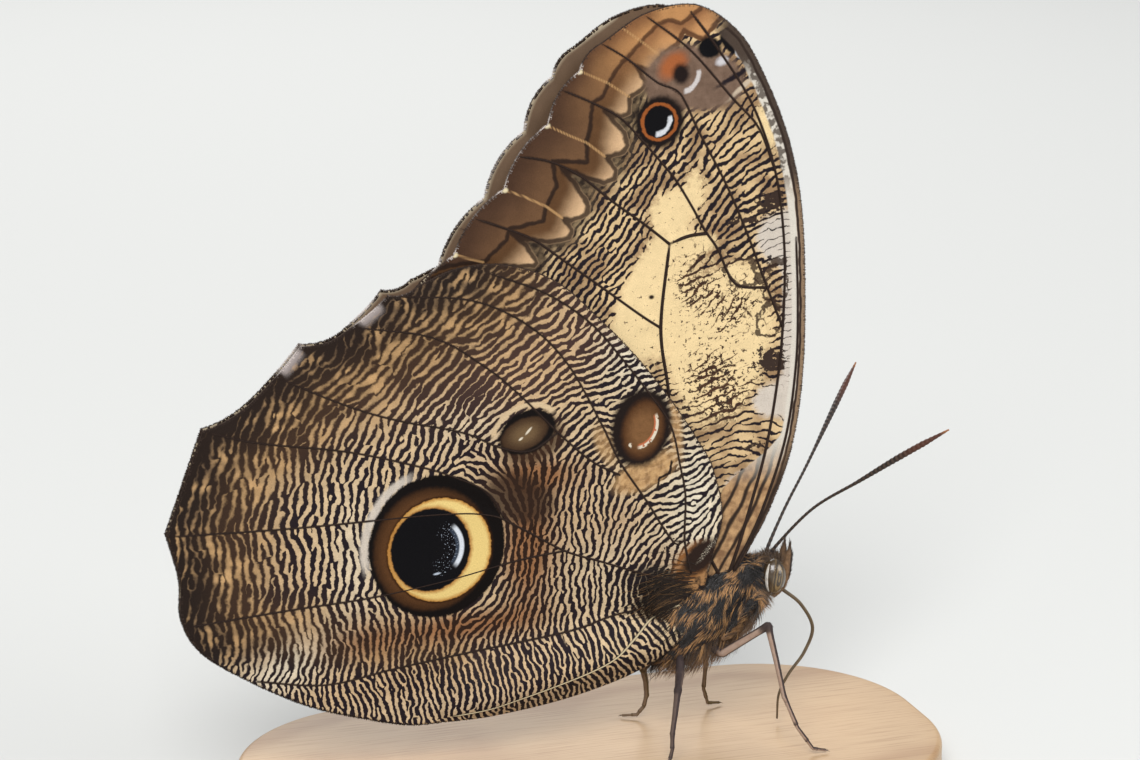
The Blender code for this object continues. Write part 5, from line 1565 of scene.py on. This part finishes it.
def legColour(place):
    # the thigh pinkish tan between dark edges, with a dark knee; the shin and foot pale behind and dark in
    # front, with dark joints
    leg, tone = place.attribute("leg", 1), place.attribute("tone", 1)
    step, forward, upward = leg.axis(0), leg.axis(1), leg.axis(2)
    grain = place.noise(2.2, 3.0)
    dark = grain.mix(rgb(50, 42, 43), rgb(86, 73, 70))
    dark = tone.axis(1).mix(dark, grain.mix(rgb(78, 62, 42), rgb(128, 106, 72)))
    light = grain.mix(rgb(186, 148, 124), rgb(228, 202, 182))
    edges = (upward.size() + (grain - 0.5) * 0.3).step(0.45, 0.75)
    thigh = (1 - edges) * step.step(2.0, 1.8) * step.step(0.7, 1.1)
    shin = (forward + (grain - 0.5) * 0.5).step(0.10, -0.25) * step.step(1.9, 2.3)
    foot = (step - legs["footFrom"]) / legs["footJoint"]
    foot = foot.math("FRACT").step(0.78, 0.95) * step.step(4.1, 4.3)
    joint = step.band(2.0, 0.10, 0.12).orMore(foot)
    return (thigh.orMore(shin) * tone.axis(0) * (1 - joint * 0.8)).mix(dark, light), grain


def buildLegs(skinScales, fur):
    # four long legs with one piece of short hair, then the front pair with a brush of long hair
    sockets = {"Roughness": 0.75, "Specular IOR Level": 0.12}
    scales, hair = skinAndHair(("leg_scales", "leg_hair"), sockets, legColour, 0.05)
    coat, samples, legFields, toneFields = coats["leg"], [], [], []
    for node, tone in (("midleg_right", "midleg"), ("hindleg_right", "hindleg"),
                       ("midleg_left", "far"), ("hindleg_left", "far")):
        values = legs["tones"][tone]
        path = jointed(np.array(legs[node]))
        skin = legPiece(node + "_joints", path, node, values, scales)
        samples.append(sampleSkin(skin, coat["count"], everywhere))
        root, normal, _, _ = samples[-1]
        nearest = path[np.linalg.norm(root[:, None] - path[None, :, :3], axis=-1).argmin(axis=1), 3]
        legFields.append(np.stack([nearest, normal[:, 0], normal[:, 2]], axis=1))
        toneFields.append(np.tile([*values, 0.0], (len(root), 1)))
    roots, normals, lies, places = stacked(samples)
    lengths, widths = rng.uniform(*coat["length"], len(roots)), rng.uniform(*coat["width"], len(roots))
    fields = {"root": roots, "leg": np.vstack(legFields), "tone": np.vstack(toneFields)}
    tuftPiece("fur_legs", roots, normals, lies, lengths, widths, coat["lift"], coat["droop"], 2, hair,
              places, fields)
    samples, (rows, count) = [], legs["brushGrid"]
    for label, side in sides:
        path = spaced(smoothCurve(legs["brush"], 14), rows) * np.array([1, side, 1])
        radii = alongRadii(legs["brushRadii"], rows)
        tubePiece("brush_leg_" + label, path, radii, count, skinScales, "foreleg_" + label)
        skin = skinGrid(sweepRings(path, radii, count))
        samples.append(sampleSkin(skin, coats["brush"]["count"], everywhere))
    roots, normals, lies, places = stacked(samples)
    dressed("fur_brushes", roots, normals, lies, coats["brush"], fur, places)


# Long hairs over the hindwing's base

wingHair = {"count": 900, "length": (1.8, 4.2), "width": (0.05, 0.09), "lift": 0.06, "droop": 0.12}


def buildWingHair():
    # dark hairs with some pale ones, scattered about the base and combed back and down
    material, shader, flow = newMaterial("wing_base_fur", {"Roughness": 0.8, "Specular IOR Level": 0.15})
    dark = flow.attribute("root", 1).noise(0.7, 2.0).mix(rgb(30, 27, 27), rgb(70, 58, 48))
    pale = flow.attribute("shade").step(0.80, 0.92)
    feed(shader, "Base Color", pale.mix(dark, rgb(150, 112, 74)))
    count = wingHair["count"]
    for label, side in sides:
        x = 9.6 + rng.normal(0, 1.6, count)
        z = 24.6 + rng.normal(0, 1.7, count)
        inside = (x < 12.5) & (z > 20.0 - (x - 9) * 0.6)
        x, z = x[inside], z[inside]
        normals = sheetNormal(hindHeight, x, z)
        roots = np.stack([x, hindHeight(x, z), z], axis=1) + normals * wingSheet["thickness"] * 0.6
        lie = np.stack([-np.ones(len(x)), 0 * x, -0.35 + 0.10 * (z - 24)], axis=1)
        mirror = np.array([1, side, 1])
        dressed("fur_wing_base_" + label, roots * mirror, normals * mirror, lie * mirror, wingHair,
                material, sheetSpread(x, z))


# Stand: a wooden plate with round corners and a soft upper edge

plate = {"half": (44.0, 23.0), "corner": 20.0, "height": 5.0, "bevel": 0.8, "around": 320}


def plateRing(inset, z):
    # a rounded rectangle: quarter circles round four centres, all moved in by the inset
    angle = np.linspace(0, 2 * math.pi, plate["around"], endpoint=False)
    radius = plate["corner"] - inset
    x = np.sign(np.cos(angle)) * (plate["half"][0] - plate["corner"]) + radius * np.cos(angle)
    y = np.sign(np.sin(angle)) * (plate["half"][1] - plate["corner"]) + radius * np.sin(angle)
    return np.stack([x, y, np.full(len(x), z)], axis=1)


def mapleMaterial():
    # growth rings round an axis along X, far below the plate, with fine fibres over them
    material, shader, flow = newMaterial("maple", {"Roughness": 0.42, "Coat Weight": 0.15,
                                                   "Coat Roughness": 0.3})
    place = inMillimetres(flow)
    warp = place.moved(place.noise(0.02, 3.0, 0.5, 1), 9.0)
    away = place.vector(warp.axis(0) * 0.02, warp.axis(1), warp.axis(2) + 60).length()
    ring = (away * 2.1).sine() * 0.5 + 0.5
    fibre = place.vector(place.axis(0) * 0.10, place.axis(1) * 3.2, place.axis(2) * 3.2).noise(1.0, 4.0, 0.65)
    colour = (ring.math("POWER", 2.5) * 0.7).mix(rgb(214, 178, 134), rgb(184, 142, 98))
    colour = fibre.step(0.45, 0.85).mix(colour, rgb(166, 124, 84))
    colour = colour.scaled(place.noise(0.05, 2.0) * 0.3 + 0.86)
    feed(shader, "Base Color", colour)
    feed(shader, "Roughness", fibre * 0.25 + 0.34)
    feedBump(shader, fibre, 0.15, 0.05)
    return material


def buildPlate():
    # rings from the middle of the underside, up the wall, over the bevel's quarter circle and in on top
    bevel, height = plate["bevel"], plate["height"]
    turn = np.linspace(0, math.pi / 2, 9)
    rise = height - bevel + bevel * np.sin(turn)
    inset = np.concatenate([[14, 6, 0.35, 0.1, 0, 0, 0], bevel * (1 - np.cos(turn)), [2.2, 5, 9, 14, 18]])
    level = np.concatenate([[0, 0, 0, 0.1, 0.35, 1.6, 3.2], rise, [height] * 5])
    rings = np.stack([plateRing(i, z) for i, z in zip(inset, level)])
    points = np.vstack([rings.reshape(-1, 3), [[0, 0, 0], [0, 0, height]]])
    faces = closedFaces(len(rings), plate["around"])
    piece = makePiece("stand_plate", points, faces, [mapleMaterial()])
    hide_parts("stand_base")


skinScales, bodyFur = coatMaterials()
buildTrunk(skinScales, bodyFur)
print("trunk and coat")
buildHead()
print("head")
buildLegs(skinScales, bodyFur)
buildWingHair()
print("legs and wing hair")
buildPlate()
print("stand")


# Floor, light and camera

view = {
    "target": (-0.003, 0.0, 0.0523),
    "azimuth": 18.0,
    "elevation": 15.0,
    "distance": 0.380,
    "lens": 100.0,
    "sensor": 36.0,
}


def floorAndLights():
    # a white floor, a plain bright world and three square lamps, in metres
    bpy.context.scene.view_settings.view_transform = "Standard"  # colours show as they are given
    mesh = bpy.data.meshes.new("floor")
    reach = 6.0
    corners = [(-reach, -reach, 0), (reach, -reach, 0), (reach, reach, 0), (-reach, reach, 0)]
    mesh.from_pydata(corners, [], [(0, 1, 2, 3)])
    mesh.materials.append(newMaterial("floor", {"Roughness": 0.85, "Base Color": rgb(240, 240, 236)})[0])
    floor = bpy.data.objects.new("floor", mesh)
    bpy.context.scene.collection.objects.link(floor)
    world = bpy.data.worlds.new("studio")
    world.use_nodes = True
    background = world.node_tree.nodes["Background"]
    background.inputs["Color"].default_value = rgb(236, 240, 246)
    background.inputs["Strength"].default_value = 0.73
    bpy.context.scene.world = world
    lamps = {
        "key": ((-0.35, -0.75, 0.75), 0.55, 13.0),
        "fill": ((0.75, -0.55, 0.35), 0.60, 5.0),
        "back": ((0.1, 0.8, 0.8), 0.60, 8.0),
    }
    for name, (place, size, power) in lamps.items():
        light = bpy.data.lights.new(name, "AREA")
        light.size = size
        light.energy = power
        lamp = bpy.data.objects.new(name, light)
        lamp.location = place
        aim = Vector(view["target"]) - Vector(place)
        lamp.rotation_euler = aim.to_track_quat("-Z", "Y").to_euler()
        bpy.context.scene.collection.objects.link(lamp)


def setCamera():
    # the camera stands back from the target along the direction of its azimuth and elevation
    a, e = math.radians(view["azimuth"]), math.radians(view["elevation"])
    look = np.array([math.sin(a) * math.cos(e), math.cos(a) * math.cos(e), -math.sin(e)])
    data = bpy.data.cameras.new("camera")
    data.lens = view["lens"]
    data.sensor_width = view["sensor"]
    data.clip_start = 0.01
    camera = bpy.data.objects.new("camera", data)
    camera.location = np.array(view["target"]) - look * view["distance"]
    camera.rotation_euler = (math.radians(90 - view["elevation"]), 0, -a)
    bpy.context.scene.collection.objects.link(camera)
    bpy.context.scene.camera = camera


floorAndLights()
setCamera()
print("floor, lights and camera")
